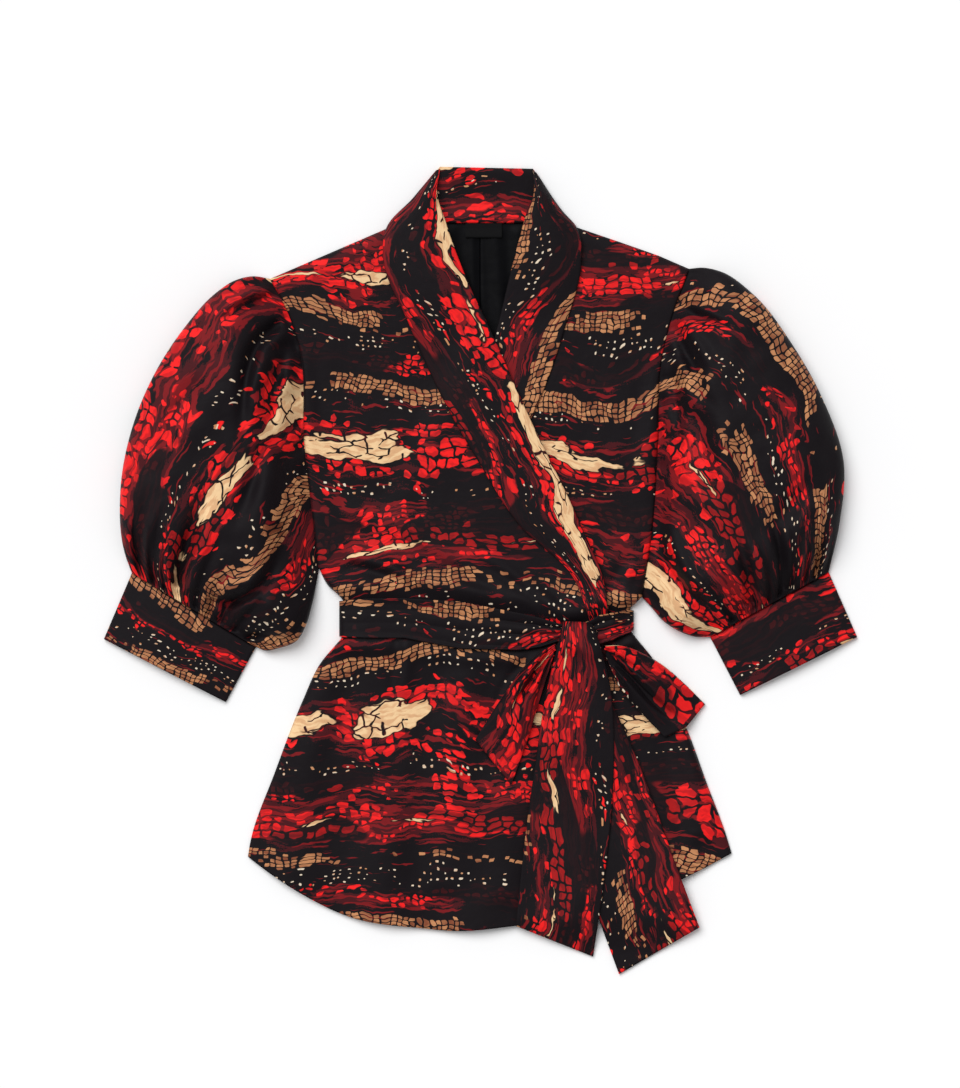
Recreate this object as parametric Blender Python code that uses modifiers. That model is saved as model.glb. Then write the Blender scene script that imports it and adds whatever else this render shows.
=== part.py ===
"""A wrap top laid flat, face up: shawl collar, puffed half sleeves, turned cuffs, peplum and a tied belt.

Each panel is a wall of cloth lofted between its own cut edges. The back lies on z = 0, +Y points to
the neck and +X to the wearer's left sleeve. All sizes below are in millimetres.
"""

import bmesh
import bpy
import numpy as np

MM = 0.001

# Driving dimensions
CLOTH = 1.0
BAND_CLOTH = 2.0
TIE_CLOTH = 1.5
CUFF_CLOTH = 1.2
SEAM_GAP = 0.6
LAYER_GAP = 0.4
EDGE_REST = 0.35
BELT_GAP = 0.6

# Levels at which the layers lie
BACK_LIFT = 2.2
SIDE_ROUND = 10.0
SHOULDER_ROUND = 12.0
COLLAR_ROUND = 14.0
BODY_RISE = 4.5
HEM_RISE = 1.6
HEM_WAVE = 2.0
HEM_WAVES = 2.5
LAP_BODICE = 4.2
LAP_PEPLUM = 1.5
COLLAR_ROLL = 5.0
BAND_CROWN = 1.0

# Height of the waist seam along Y
WAIST = -48.0

# Stretches of Y in which the back rises over the belt from below, and comes down again, as -Y
LIFT_STARTS = (-104.0, -86.0)
LIFT_ENDS = (6.0, 24.0)

# Stretches of -Y in which the fronts come down to the hem, the hem's waves widen, and the lap thins
FALL = (90.0, 330.0)
WIDENING = (50.0, 330.0)
LAP_THINS = (55.0, 110.0)
WAVE_PANEL = 150.0
WAVE_PANEL_GAIN = 90.0

# Distances past the hidden edge over which the upper front climbs onto it, and below the underarm
LAP_CLIMB = (-48.0, -10.0)
UNDERARM = (-4.0, 14.0)

# Stretches of X in which the belt climbs the collar's foot, and comes down at its end
BELT_CLIMB = (76.0, 90.0)
BELT_FALL = (130.0, 148.0)

# Collar bands: heights along Y at which they start to roll and to crown, and the runs to full
OVER_ROLL_FROM = 200.0
OVER_CROWN_FROM = -40.0
UNDER_ROLL_FROM = 245.0
UNDER_CROWN_FROM = 245.0
ROLL_RUN = 100.0
CROWN_RUN = 60.0
CROWN_AT_EDGE = 0.3
NECK = (326.0, 348.0)
NECK_TOP = (375.0, 402.0)
NECK_TOP_FALL = 0.75

# Sleeves and cuffs
SLEEVE_CROWN = 46.0
ARMHOLE_HEIGHT = 5.5
CUFF_END_HEIGHT = 12.0
SLEEVE_ROUND = 80.0
SLEEVE_ROUND_BELOW = 26.0
HEAD_RISE = 70.0
CUFF_FALL = 52.0
SIDE_SHARE = 0.22
CROWN_POWER = 0.9
SLACK_RUN = 24.0
SLACK_HEIGHT = 26.0
GATHERS = 7
GATHER_DEPTH = 2.6
GATHER_START = (0.72, 0.97)
GATHER_SIDE_RUN = 12.0
CUFF_SIDE = 2.3
CUFF_SWELL = 4.8
CUFF_ROUND = 3.0

# Edges of the cut pieces, each a row of x, y from the top or from the shoulder
ARMHOLE_RIGHT = (
    (-210.5, 291.5), (-192.5, 257.5), (-181.5, 223.5), (-176.0, 125.0), (-167.0, 45.0), (-162.5, 4.5),
)
ARMHOLE_LEFT = (
    (208.5, 301.5), (189.5, 247.5), (180.5, 207.5), (177.5, 130.0), (171.0, 35.0), (161.5, -25.5),
)
SIDE_RIGHT = ((-162.5, 4.5), (-151.5, -16.0), (-142.5, -24.0), (-137.6, -29.5), (-137.6, -47.6))
SIDE_LEFT = ((161.5, -25.5), (154.0, -34.0), (149.9, -37.5), (149.6, -42.0), (149.6, -47.6))
SHOULDER_RIGHT = ((-210.5, 291.5), (-94.5, 341.5), (-84.0, 346.5))
SHOULDER_LEFT = ((208.5, 301.5), (178.5, 314.5), (144.5, 326.5), (86.0, 346.5))
LAP_OVER = (
    (-84.0, 346.5), (-60.0, 335.0), (-42.0, 312.0), (-9.0, 261.0), (18.0, 195.0), (66.0, 107.0),
    (102.0, 18.0), (117.0, -18.5), (119.0, -47.6),
)
LAP_UNDER = (
    (86.0, 346.5), (62.0, 341.0), (49.0, 328.0), (32.0, 276.0), (24.0, 243.0), (11.0, 195.0),
    (-36.0, 107.0), (-76.0, 18.0), (-90.0, -18.5), (-95.0, -47.6),
)
PEPLUM_RIGHT = (
    (-137.6, -48.4), (-137.6, -66.0), (-141.0, -70.0), (-160.5, -93.5), (-177.5, -129.5),
    (-205.5, -201.5), (-230.5, -273.5), (-232.5, -286.0),
)
PEPLUM_LEFT = (
    (149.6, -48.4), (150.0, -60.0), (154.5, -66.0), (172.5, -88.5), (205.5, -156.5),
    (226.5, -213.5), (244.5, -261.5), (251.0, -282.5),
)
PEPLUM_FRONT_OVER = ((125.5, -48.4), (94.5, -347.0))
PEPLUM_FRONT_UNDER = ((-114.0, -48.4), (-84.0, -350.0))
HEM_OVER = (
    (-232.5, -286.0), (-217.5, -297.5), (-181.5, -321.5), (-132.5, -345.5), (-57.5, -357.5),
    (-30.0, -360.0), (35.0, -355.0), (94.5, -347.0),
)
HEM_UNDER = (
    (-84.0, -350.0), (0.0, -353.0), (60.0, -350.0), (119.5, -341.0), (160.0, -326.0),
    (223.5, -297.5), (251.0, -282.5),
)
HEM_BACK = (
    (-232.5, -286.0), (-217.5, -294.5), (-181.5, -318.5), (-132.5, -342.5), (-57.5, -354.0),
    (0.0, -354.0), (60.0, -347.0), (119.5, -338.0), (160.0, -323.0), (223.5, -294.5), (251.0, -282.5),
)
BAND_OVER_INNER = (
    (-40.0, 401.0), (-43.5, 380.5), (-34.5, 347.5), (-14.5, 292.9), (13.9, 231.5), (49.5, 151.5),
    (98.2, 49.5), (124.9, -18.5), (127.3, -47.0),
)
BAND_OVER_OUTER = (
    (-44.5, 400.0), (-67.5, 372.5), (-94.5, 341.5), (-97.5, 315.5), (-72.5, 248.5), (-44.8, 185.5),
    (-1.5, 107.5), (37.5, 46.9), (93.4, -8.5), (109.0, -47.0),
)
BAND_UNDER_INNER = (
    (51.5, 400.0), (53.5, 380.5), (45.5, 355.9), (32.2, 306.5), (11.0, 225.0), (-20.0, 151.0),
    (-70.0, 49.5), (-98.0, -18.0), (-104.0, -47.0),
)
BAND_UNDER_OUTER = (
    (56.0, 397.5), (81.9, 359.5), (96.5, 342.5), (100.5, 306.5), (86.1, 248.5), (52.5, 155.5),
    (0.0, 66.0), (-45.0, 5.0), (-84.0, -47.0),
)
STAND = ((-87.0, 347.2), (89.0, 347.2), (-40.5, 403.5), (52.5, 401.5))
LINING_TOP = 345.0
LINING_FOOT = 200.0
LINING_SIDE = 66.0
LINING_SEAM = -0.5
LABEL = ((-15.0, 344.5), (21.5, 344.5), (-15.0, 330.0), (21.5, 330.0))

SLEEVE_OUTER_RIGHT = (
    (-210.5, 291.5), (-228.0, 294.0), (-245.8, 289.5), (-264.5, 276.9), (-294.8, 243.5),
    (-343.8, 154.5), (-359.5, 80.0), (-354.5, 14.5), (-348.5, -2.5),
)
SLEEVE_INNER_RIGHT = (
    (-162.5, 4.5), (-164.0, -13.5), (-168.5, -35.5), (-175.0, -56.5), (-183.5, -70.2),
    (-201.5, -77.5), (-214.5, -80.0), (-224.5, -76.5),
)
SLEEVE_OUTER_LEFT = (
    (208.5, 301.5), (222.5, 302.6), (239.0, 299.0), (272.2, 275.8), (312.0, 224.5), (341.5, 171.5),
    (362.5, 108.5), (358.5, 47.5), (348.0, -1.5),
)
SLEEVE_INNER_LEFT = (
    (161.5, -25.5), (169.4, -35.3), (182.5, -50.3), (197.5, -60.2), (214.0, -66.0), (229.5, -66.5),
)
CUFF_HEM_RIGHT = ((-376.5, -68.5), (-254.5, -131.5))
CUFF_HEM_LEFT = ((376.5, -66.5), (259.5, -124.5))

# Folds: from x, from y, to x, to y, half width, depth
SLEEVE_FOLDS_RIGHT = (
    (-206.0, 282.0, -228.0, 226.0, 9.0, 6.0),
    (-198.0, 264.0, -222.0, 196.0, 9.0, 7.0),
    (-219.0, 288.0, -258.0, 240.0, 9.0, 5.0),
    (-190.0, 236.0, -206.0, 160.0, 10.0, 7.0),
    (-226.0, 196.0, -246.0, 120.0, 14.0, 6.0),
    (-280.0, 40.0, -295.0, -26.0, 12.0, 9.0),
    (-322.0, 46.0, -333.0, -4.0, 9.0, 7.0),
    (-200.0, 40.0, -232.0, -52.0, 14.0, 8.0),
)
SLEEVE_FOLDS_LEFT = (
    (205.0, 288.0, 232.0, 236.0, 9.0, 6.0),
    (196.0, 262.0, 218.0, 190.0, 9.0, 7.0),
    (218.0, 297.0, 262.0, 252.0, 9.0, 5.0),
    (190.0, 226.0, 208.0, 140.0, 10.0, 7.0),
    (226.0, 190.0, 250.0, 110.0, 14.0, 6.0),
    (342.0, 60.0, 306.0, 6.0, 12.0, 9.0),
    (278.0, 36.0, 290.0, -18.0, 10.0, 7.0),
    (182.0, 40.0, 226.0, -44.0, 14.0, 8.0),
)
BODICE_FOLDS = (
    (-146.0, 16.0, -60.0, -12.0, 8.0, 0.5),
    (-120.0, 40.0, 20.0, -6.0, 10.0, 0.4),
    (30.0, 60.0, 92.0, -20.0, 9.0, 0.4),
)

# Belt: x, top edge y, bottom edge y
BELT_ROWS = (
    (-141.2, -30.5, -66.0),
    (-112.0, -28.2, -66.8),
    (-76.0, -27.8, -67.0),
    (-20.0, -31.0, -77.5),
    (56.0, -45.0, -75.0),
    (80.0, -50.5, -72.0),
    (126.0, -50.0, -73.0),
    (140.0, -42.5, -66.5),
    (153.2, -40.0, -59.0),
)
BELT_SIDE = 3.7
BELT_ROUND = 6.0
BELT_ROUND_BELOW = 4.0

# Knot, bow loops and tie ends
KNOT = (98.0, -64.5, 19.0)
KNOT_HALF = (19.5, 12.5, 4.1)
LOOP_RIGHT_OUTER = ((74.5, -73.0), (56.0, -84.0), (22.9, -124.5), (-5.2, -168.9))
LOOP_RIGHT_INNER = ((72.5, -87.0), (61.0, -122.0), (49.0, -162.5), (30.5, -213.5))
LOOP_LEFT_OUTER = ((124.5, -75.5), (139.5, -75.0), (172.5, -88.5), (205.5, -115.0), (224.5, -133.5))
LOOP_LEFT_INNER = ((125.5, -87.0), (139.5, -117.0), (169.5, -151.5), (184.5, -166.5))
LOOP_LEFT_END = ((224.5, -133.5), (205.5, -156.5), (184.5, -166.5))
TAIL_FRONT_RIGHT = (
    (83.0, -50.5), (79.0, -66.0), (73.9, -86.0), (66.2, -119.5), (53.5, -200.5), (40.5, -302.5),
    (35.5, -355.0),
)
TAIL_FRONT_LEFT = (
    (111.0, -51.5), (116.5, -66.0), (122.5, -86.0), (130.0, -119.5), (132.5, -150.0),
    (132.5, -213.5), (122.5, -315.5), (112.5, -386.0),
)
TAIL_BACK_RIGHT = ((95.0, -115.0), (85.0, -180.0), (92.0, -260.0), (118.5, -348.5), (138.5, -403.5))
TAIL_BACK_LEFT = ((120.0, -112.0), (145.5, -162.5), (173.5, -234.0), (196.5, -297.5), (218.8, -356.5))
KNOT_SQUARED = 0.8
KNOT_RIPPLES = 6
KNOT_RIPPLE = 0.03
LOOP_FOLD = 0.6
LOOP_TUCK = 4
LOOP_SWELL = 2.4
LOOP_RIGHT_PLEATS = 2
LOOP_LEFT_PLEATS = 3
LOOP_BEND = (30.0, 150.0, 5)

# Heights of the tie's pieces above the layers, and at the free ends' feet on the floor
TAIL_FRONT_LIES = 5.4
TAIL_FRONT_FOOT = 0.8
TAIL_BACK_LIES = 3.0
LOOP_RIGHT_LIES = 0.8
LOOP_LEFT_CLIMB = 3.6
LOOP_LEFT_FLOOR = 1.0

# Stretches in which the free ends come down past the hem, as -Y, in which the left loop climbs onto
# the upper front, as -X, and in which it comes down past the peplum's side
TAIL_FALL = (345.0, 386.0)
LOOP_CLIMB = (-148.0, -128.0)
LOOP_OVERHANG = (-2.0, 26.0)

# Tie end in front: y, underside z above the layers, from the knot down
TAIL_RISE = (
    (-50.5, 12.0), (-55.0, 17.6), (-63.0, 19.4), (-76.0, 18.2), (-92.0, 12.0), (-120.0, 6.5),
    (-215.0, 0.0),
)

# Faces along and across each piece. NEAR_EDGE gives the closer rows next to a rounded edge
NEAR_EDGE = (0.0, 0.12, 0.45)
BACK_COLUMNS = 8
GRID_FRONT = (14, 13)
SIDE_ROWS = 6
PEPLUM_COLUMNS = 15
PEPLUM_ROWS = (0.0, 0.04, 0.07, 0.1, 0.15, 0.23, 0.34, 0.46, 0.58, 0.7, 0.81, 0.91, 1.0)
GRID_BAND = (24, 5)
GRID_TAIL = (18, 4)
GRID_LOOP = (8, 6)
GRID_STAND = (2, 4)
GRID_LINING = (4, 3)
GRID_LABEL = (2, 4)
GRID_KNOT = (24, 12)
OUTLINE_STEPS = 60
SLEEVE_RINGS = (0.0, 0.03, 0.07, 0.12, 0.18, 0.26, 0.36, 0.47, 0.58, 0.68, 0.77, 0.85, 0.91, 0.96, 1.0)
SLEEVE_UPPER = 21
SLEEVE_LOWER = 10
SLEEVE_WIDTH = 150.0
SLEEVE_EDGE_UPPER = 14.0
SLEEVE_EDGE_LOWER = 22.0
CUFF_ROWS = 4
CUFF_UPPER = 8
CUFF_LOWER = 4
CUFF_EDGE = 5.0
BELT_FACES = 3
BELT_UPPER = 24
BELT_LOWER = 6
BELT_EDGE = 7.0

# Colours: red, green, blue, roughness
BLACK_PRINT = (0.030, 0.020, 0.022, 0.62)
RED_PRINT = (0.340, 0.016, 0.018, 0.62)
LINING_BLACK = (0.010, 0.010, 0.011, 0.45)


def smooth(value, low, high):
    """0 below low, 1 above high and an S curve between."""
    t = np.clip((np.asarray(value, float) - low) / (high - low), 0, 1)
    return t * t * (3 - 2 * t)


def rounded(distance, radius):
    """Share of the full height of a quarter round, at this distance from its edge."""
    t = 1 - np.clip(np.asarray(distance, float) / radius, 0, 1)
    return np.sqrt(1 - t * t)


def lengths(points):
    """Distance of each point from the first along the line."""
    steps = np.linalg.norm(np.diff(points, axis=0), axis=1)
    return np.concatenate([[0.0], np.cumsum(steps)])


def smooth_line(rows, fractions):
    """Points at these shares of the length of a smooth curve through the rows."""
    points = np.array(rows, float)
    run = lengths(points)
    slope = np.gradient(points, run, axis=0)
    at = np.asarray(fractions, float) * run[-1]
    i = np.clip(np.searchsorted(run, at, side="right") - 1, 0, len(run) - 2)
    span = (run[i + 1] - run[i])[:, None]
    t = (at - run[i])[:, None] / span
    return (
        (2 * t**3 - 3 * t**2 + 1) * points[i]
        + (t**3 - 2 * t**2 + t) * span * slope[i]
        + (3 * t**2 - 2 * t**3) * points[i + 1]
        + (t**3 - t**2) * span * slope[i + 1]
    )


def straight_line(rows, fractions):
    """Points at these shares of the length of the straight runs between the rows."""
    points = np.array(rows, float)
    run = lengths(points)
    at = np.asarray(fractions, float) * run[-1]
    return np.stack([np.interp(at, run, points[:, k]) for k in (0, 1)], axis=1)


def patch(top, bottom, left, right, down, across):
    """Coons patch: a grid of x, y that meets four edges. down and across are shares of each side."""
    top, bottom = top[None], bottom[None]
    left, right = left[:, None], right[:, None]
    u, v = np.asarray(down)[:, None, None], np.asarray(across)[None, :, None]
    corners = (
        (1 - u) * (1 - v) * left[0, 0]
        + (1 - u) * v * right[0, 0]
        + u * (1 - v) * left[-1, 0]
        + u * v * right[-1, 0]
    )
    return (1 - u) * top + u * bottom + (1 - v) * left + v * right - corners


def distance_to(grid, line):
    """Plan distance of every grid point from a line of straight runs."""
    nearest = np.full(grid.shape[:-1], np.inf)
    for start, end in zip(line[:-1], line[1:]):
        run = end - start
        t = np.clip(((grid - start) @ run) / (run @ run), 0, 1)
        nearest = np.minimum(nearest, np.linalg.norm(grid - start - t[..., None] * run, axis=-1))
    return nearest


def fold_depth(grid, rows):
    """Sum of soft troughs, each along its own straight run in plan."""
    depth = np.zeros(grid.shape[:-1])
    for x0, y0, x1, y1, width, deep in rows:
        depth += deep * np.exp(-((distance_to(grid, np.array([[x0, y0], [x1, y1]])) / width) ** 2))
    return depth


def even(count):
    """Shares from 0 to 1 in even steps."""
    return np.linspace(0, 1, count + 1)


def edged(count, width, radius):
    """Shares from 0 to 1, closer together within a radius of both ends of this width."""
    near = np.array(NEAR_EDGE) * radius / width
    return np.concatenate([near, np.linspace(radius / width, 1 - radius / width, count), 1 - near[::-1]])


def back_lift(y):
    """Underside of the back: on the floor, but lifted over the belt's back half."""
    return BACK_LIFT * smooth(y, *LIFT_STARTS) * smooth(-y, *LIFT_ENDS)


def body_rise(x, y):
    """Underside of the lower front: level on the bodice, lower and waved towards the hem."""
    fall = smooth(-y, *FALL)
    width = WAVE_PANEL + WAVE_PANEL_GAIN * smooth(-y, *WIDENING)
    wave = 0.5 + 0.5 * np.cos(2 * np.pi * HEM_WAVES * x / width)
    return BODY_RISE - (BODY_RISE - HEM_RISE) * fall + HEM_WAVE * fall * wave


def over_rise(x, y):
    """Underside of the upper front: raised where the lower front and its band lie beneath it."""
    line = np.array(sorted((row[1], row[0]) for row in BAND_UNDER_INNER + PEPLUM_FRONT_UNDER[1:]))
    hidden_edge = np.interp(y, line[:, 0], line[:, 1])
    lap = LAP_BODICE - (LAP_BODICE - LAP_PEPLUM) * smooth(-y, *LAP_THINS)
    return body_rise(x, y) + lap * smooth(x - hidden_edge, *LAP_CLIMB)


def belt_rise(x):
    """Underside of the belt in front, clear of the panels and of the collar's foot."""
    base = body_rise(x, WAIST)
    band = (BAND_CLOTH + LAYER_GAP) * smooth(x, *BELT_CLIMB)
    layers = over_rise(x, WAIST) - base + band
    return base + CLOTH + BELT_GAP + layers * (1 - smooth(x, *BELT_FALL))


def material(name, red, green, blue, roughness):
    """Principled finish of one colour."""
    made = bpy.data.materials.new(name)
    made.use_nodes = True
    shader = made.node_tree.nodes["Principled BSDF"]
    shader.inputs["Base Color"].default_value = (red, green, blue, 1)
    shader.inputs["Roughness"].default_value = roughness
    shader.inputs["Metallic"].default_value = 0.0
    return made


def sheet(name, grid, wall, finish, ring=False, down=False):
    """Object of a grid of points, as a wall that grows inwards from the grid's outer side.

    ring closes the grid's second direction on itself. down is for a grid that is the underside.
    """
    rows, columns = grid.shape[:2]
    j = np.arange(columns if ring else columns - 1)
    i = np.arange(rows - 1)[:, None]
    after = (j + 1) % columns
    quads = np.stack(
        [i * columns + j, (i + 1) * columns + j, (i + 1) * columns + after, i * columns + after], axis=-1
    ).reshape(-1, 4)
    points = grid.reshape(-1, 3)
    corner = points[quads]
    normal = np.cross(corner[:, 2] - corner[:, 0], corner[:, 3] - corner[:, 1])
    if ring:
        middle = np.repeat(grid.mean(axis=1), len(j), axis=0)[: len(quads)]
        facing = ((corner.mean(axis=1) - middle) * normal).sum()
    else:
        facing = normal[1 - columns :, 2].sum() * (-1 if down else 1)
    if facing < 0:
        quads = quads[:, ::-1]
    mesh = bpy.data.meshes.new(name)
    mesh.from_pydata((points * MM).tolist(), [], quads.tolist())
    mesh.shade_smooth()
    made = bpy.data.objects.new(name, mesh)
    made.data.materials.append(finish)
    thick = made.modifiers.new("wall", "SOLIDIFY")
    thick.thickness = wall * MM
    thick.offset = -1.0
    return made


def level_grid(plan, height):
    """Grid of x, y, z from a plan and its heights."""
    return np.concatenate([plan, height[..., None]], axis=-1)


def side_line(armhole, side):
    """Points down the armhole and then down the side seam below it."""
    upper = smooth_line(armhole, even(GRID_FRONT[0]))
    return np.concatenate([upper, smooth_line(side, even(SIDE_ROWS))[1:]])


def resting(plan, height, edge, radius, fade=1.0):
    """Height that comes down to the back near an edge, as cloth does over a seam."""
    rest = back_lift(plan[..., 1]) + CLOTH + EDGE_REST
    share = 1 - fade * (1 - rounded(distance_to(plan, edge), radius))
    return rest + (height - rest) * share


def bodice_front(name, armhole, side, shoulder, lap, rise, finish):
    """One bodice front, from the armhole and side seam to its lap edge. It rides over the back."""
    rows, columns = GRID_FRONT
    outer = side_line(armhole, side)
    down, across = lengths(outer) / lengths(outer)[-1], even(columns)
    top = straight_line(shoulder, across)
    bottom = straight_line((side[-1], lap[-1]), across)
    plan = patch(top, bottom, outer, smooth_line(lap, down), down, across)
    height = rise(plan[..., 0], plan[..., 1]) - fold_depth(plan, BODICE_FOLDS)
    below_arm = smooth(outer[rows][1] - plan[..., 1], *UNDERARM)
    height = resting(plan, height, outer[rows:], SIDE_ROUND, below_arm)
    height = resting(plan, height, top, SHOULDER_ROUND)
    return sheet(name, level_grid(plan, height + CLOTH), CLOTH, finish)


def peplum_front(name, side, front, hem, rise, finish):
    """One peplum front, from the side seam to its front edge."""
    down, across = np.array(PEPLUM_ROWS), even(PEPLUM_COLUMNS)
    outer = smooth_line(side, down)
    top = straight_line((side[0], front[0]), across)
    plan = patch(top, smooth_line(hem, across), outer, straight_line(front, down), down, across)
    height = rise(plan[..., 0], plan[..., 1])
    height = resting(plan, height, outer, SIDE_ROUND)
    return sheet(name, level_grid(plan, height + CLOTH), CLOTH, finish)


def back_pieces(finish):
    """Back bodice and back peplum, flat on the floor but for the lift over the belt."""
    right = side_line(ARMHOLE_RIGHT, SIDE_RIGHT)
    left = side_line(ARMHOLE_LEFT, SIDE_LEFT)
    across = even(BACK_COLUMNS)
    shoulders = SHOULDER_RIGHT + SHOULDER_LEFT[::-1]
    down = lengths(right) / lengths(right)[-1]
    bottom = straight_line((SIDE_RIGHT[-1], SIDE_LEFT[-1]), across)
    plan = patch(straight_line(shoulders, across), bottom, right, left, down, across)
    bodice = sheet("back_bodice", level_grid(plan, back_lift(plan[..., 1])), CLOTH, finish, down=True)
    down = np.array(PEPLUM_ROWS)
    top = straight_line((PEPLUM_RIGHT[0], PEPLUM_LEFT[0]), across)
    plan = patch(
        top, smooth_line(HEM_BACK, across), smooth_line(PEPLUM_RIGHT, down),
        smooth_line(PEPLUM_LEFT, down), down, across,
    )
    peplum = sheet("back_peplum", level_grid(plan, back_lift(plan[..., 1])), CLOTH, finish, down=True)
    return [bodice, peplum]


def collar_band(name, outer, inner, rise, roll_from, crown_from, finish):
    """Doubled band on a front's lap edge, rolled up round the neck and down at its outline."""
    rows, columns = GRID_BAND
    down, across = even(rows), even(columns)
    start = straight_line((outer[0], inner[0]), across)
    end = straight_line((outer[-1], inner[-1]), across)
    plan = patch(start, end, smooth_line(outer, down), smooth_line(inner, down), down, across)
    x, y = plan[..., 0], plan[..., 1]
    height = rise(x, y) + CLOTH + LAYER_GAP + COLLAR_ROLL * smooth(y, roll_from, roll_from + ROLL_RUN)
    arch = CROWN_AT_EDGE + np.sin(np.pi * across)[None]
    height += BAND_CROWN * arch * smooth(y, crown_from, crown_from + CROWN_RUN)
    floor = BAND_CLOTH + SEAM_GAP
    edge = smooth_line(outer, even(OUTLINE_STEPS))
    down_there = smooth(y, *NECK) * (1 - rounded(distance_to(plan, edge), COLLAR_ROUND))
    height = floor + (height - floor) * (1 - down_there)
    height = floor + (height - floor) * (1 - NECK_TOP_FALL * smooth(y, *NECK_TOP))
    return sheet(name, level_grid(plan, height + BAND_CLOTH), BAND_CLOTH, finish)


def flat_piece(name, corners, low, wall, finish, counts):
    """Straight-edged piece at one level: corners are top, top, foot, foot."""
    down, across = even(counts[0]), even(counts[1])
    plan = patch(
        straight_line(corners[:2], across), straight_line(corners[2:], across),
        straight_line((corners[0], corners[2]), down), straight_line((corners[1], corners[3]), down),
        down, across,
    )
    return sheet(name, level_grid(plan, np.full(plan.shape[:2], low)), wall, finish, down=True)


def neck_pieces(finish, lining):
    """Collar stand, the two lining pieces that show inside the neck, and the plain label tab."""
    left, right, top_left, top_right = STAND
    corners = (top_left, top_right, left, right)
    stand = flat_piece("collar_stand", corners, 0.0, BAND_CLOTH, finish, GRID_STAND)
    low = CLOTH + LAYER_GAP
    half = SEAM_GAP / 2
    made = [stand]
    for name, side, seam in (
        ("back_lining_right", -LINING_SIDE, LINING_SEAM - half),
        ("back_lining_left", LINING_SIDE, LINING_SEAM + half),
    ):
        corners = ((side, LINING_TOP), (seam, LINING_TOP), (side, LINING_FOOT), (seam, LINING_FOOT))
        made.append(flat_piece(name, corners, low, CLOTH, lining, GRID_LINING))
    made.append(flat_piece("label_tab", LABEL, low + CLOTH + LAYER_GAP, CLOTH, lining, GRID_LABEL))
    return made


def ring_grid(plan_upper, upper, plan_lower, lower):
    """Closed rings from an upper half and a lower half that share their two edges."""
    back = slice(-2, 0, -1)
    top = level_grid(plan_upper, upper)
    return np.concatenate([top, level_grid(plan_lower, lower)[:, back]], axis=1)


def sleeve(name, armhole, outer, inner, folds, finish):
    """Puffed sleeve: full between the armhole and the cuff, gathered where they take it in."""
    outward = np.sign(armhole[0][0])
    start = smooth_line(armhole, even(GRID_FRONT[0])) + (outward * SEAM_GAP, 0)
    ends = np.array([outer[-1], inner[-1]], float)
    run = ends[1] - ends[0]
    up = np.array([-run[1], run[0]]) / np.linalg.norm(run)
    up *= np.sign(up[1])
    ends += up * SEAM_GAP
    down = np.array(SLEEVE_RINGS)
    outer_line = smooth_line((tuple(start[0]),) + outer[1:-1] + (tuple(ends[0]),), down)
    inner_line = smooth_line((tuple(start[-1]),) + inner[1:-1] + (tuple(ends[1]),), down)

    def plan_of(across):
        """Plan between the outline, the armhole and the cuff."""
        first = straight_line(start, across)
        return patch(first, straight_line(ends, across), outer_line, inner_line, down, across)

    def full_height(plan):
        """Height of the puff, a quarter sine up from the armhole or from the cuff, the lower of the two."""
        from_head = np.sin(np.pi / 2 * np.clip(distance_to(plan, start) / HEAD_RISE, 0, 1))
        from_cuff = np.sin(np.pi / 2 * np.clip(distance_to(plan, ends) / CUFF_FALL, 0, 1))
        low = ARMHOLE_HEIGHT + (CUFF_END_HEIGHT - ARMHOLE_HEIGHT) * (from_head > from_cuff)
        return low + (SLEEVE_CROWN - low) * np.minimum(from_head, from_cuff)

    def side_of(full):
        """Height at which the upper and the lower half meet."""
        return ARMHOLE_HEIGHT / 2 + SIDE_SHARE * (full - ARMHOLE_HEIGHT)

    def edge_distance(plan):
        """Distance from the nearer side of the outline."""
        return np.minimum(distance_to(plan, outer_line), distance_to(plan, inner_line))

    across = edged(SLEEVE_UPPER, SLEEVE_WIDTH, SLEEVE_EDGE_UPPER)
    upper_plan = plan_of(across)
    full = full_height(upper_plan)
    side_height = side_of(full)
    away = edge_distance(upper_plan)
    upper = side_height + (full - side_height) * rounded(away, SLEEVE_ROUND) ** CROWN_POWER
    slack = smooth(away, 0, SLACK_RUN) * smooth(full, ARMHOLE_HEIGHT, SLACK_HEIGHT)
    upper -= fold_depth(upper_plan, folds) * slack
    waves = 0.5 - 0.5 * np.cos(2 * np.pi * GATHERS * across)[None]
    waves = waves * smooth(down, *GATHER_START)[:, None] * smooth(away, 0, GATHER_SIDE_RUN)
    upper -= GATHER_DEPTH * waves
    lower_plan = plan_of(edged(SLEEVE_LOWER, SLEEVE_WIDTH, SLEEVE_EDGE_LOWER))
    lower_plan[0, :, 0] += outward * SEAM_GAP
    side_height = side_of(full_height(lower_plan))
    lower = side_height * (1 - rounded(edge_distance(lower_plan), SLEEVE_ROUND_BELOW))
    return sheet(name, ring_grid(upper_plan, upper, lower_plan, lower), CLOTH, finish, ring=True)


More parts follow.
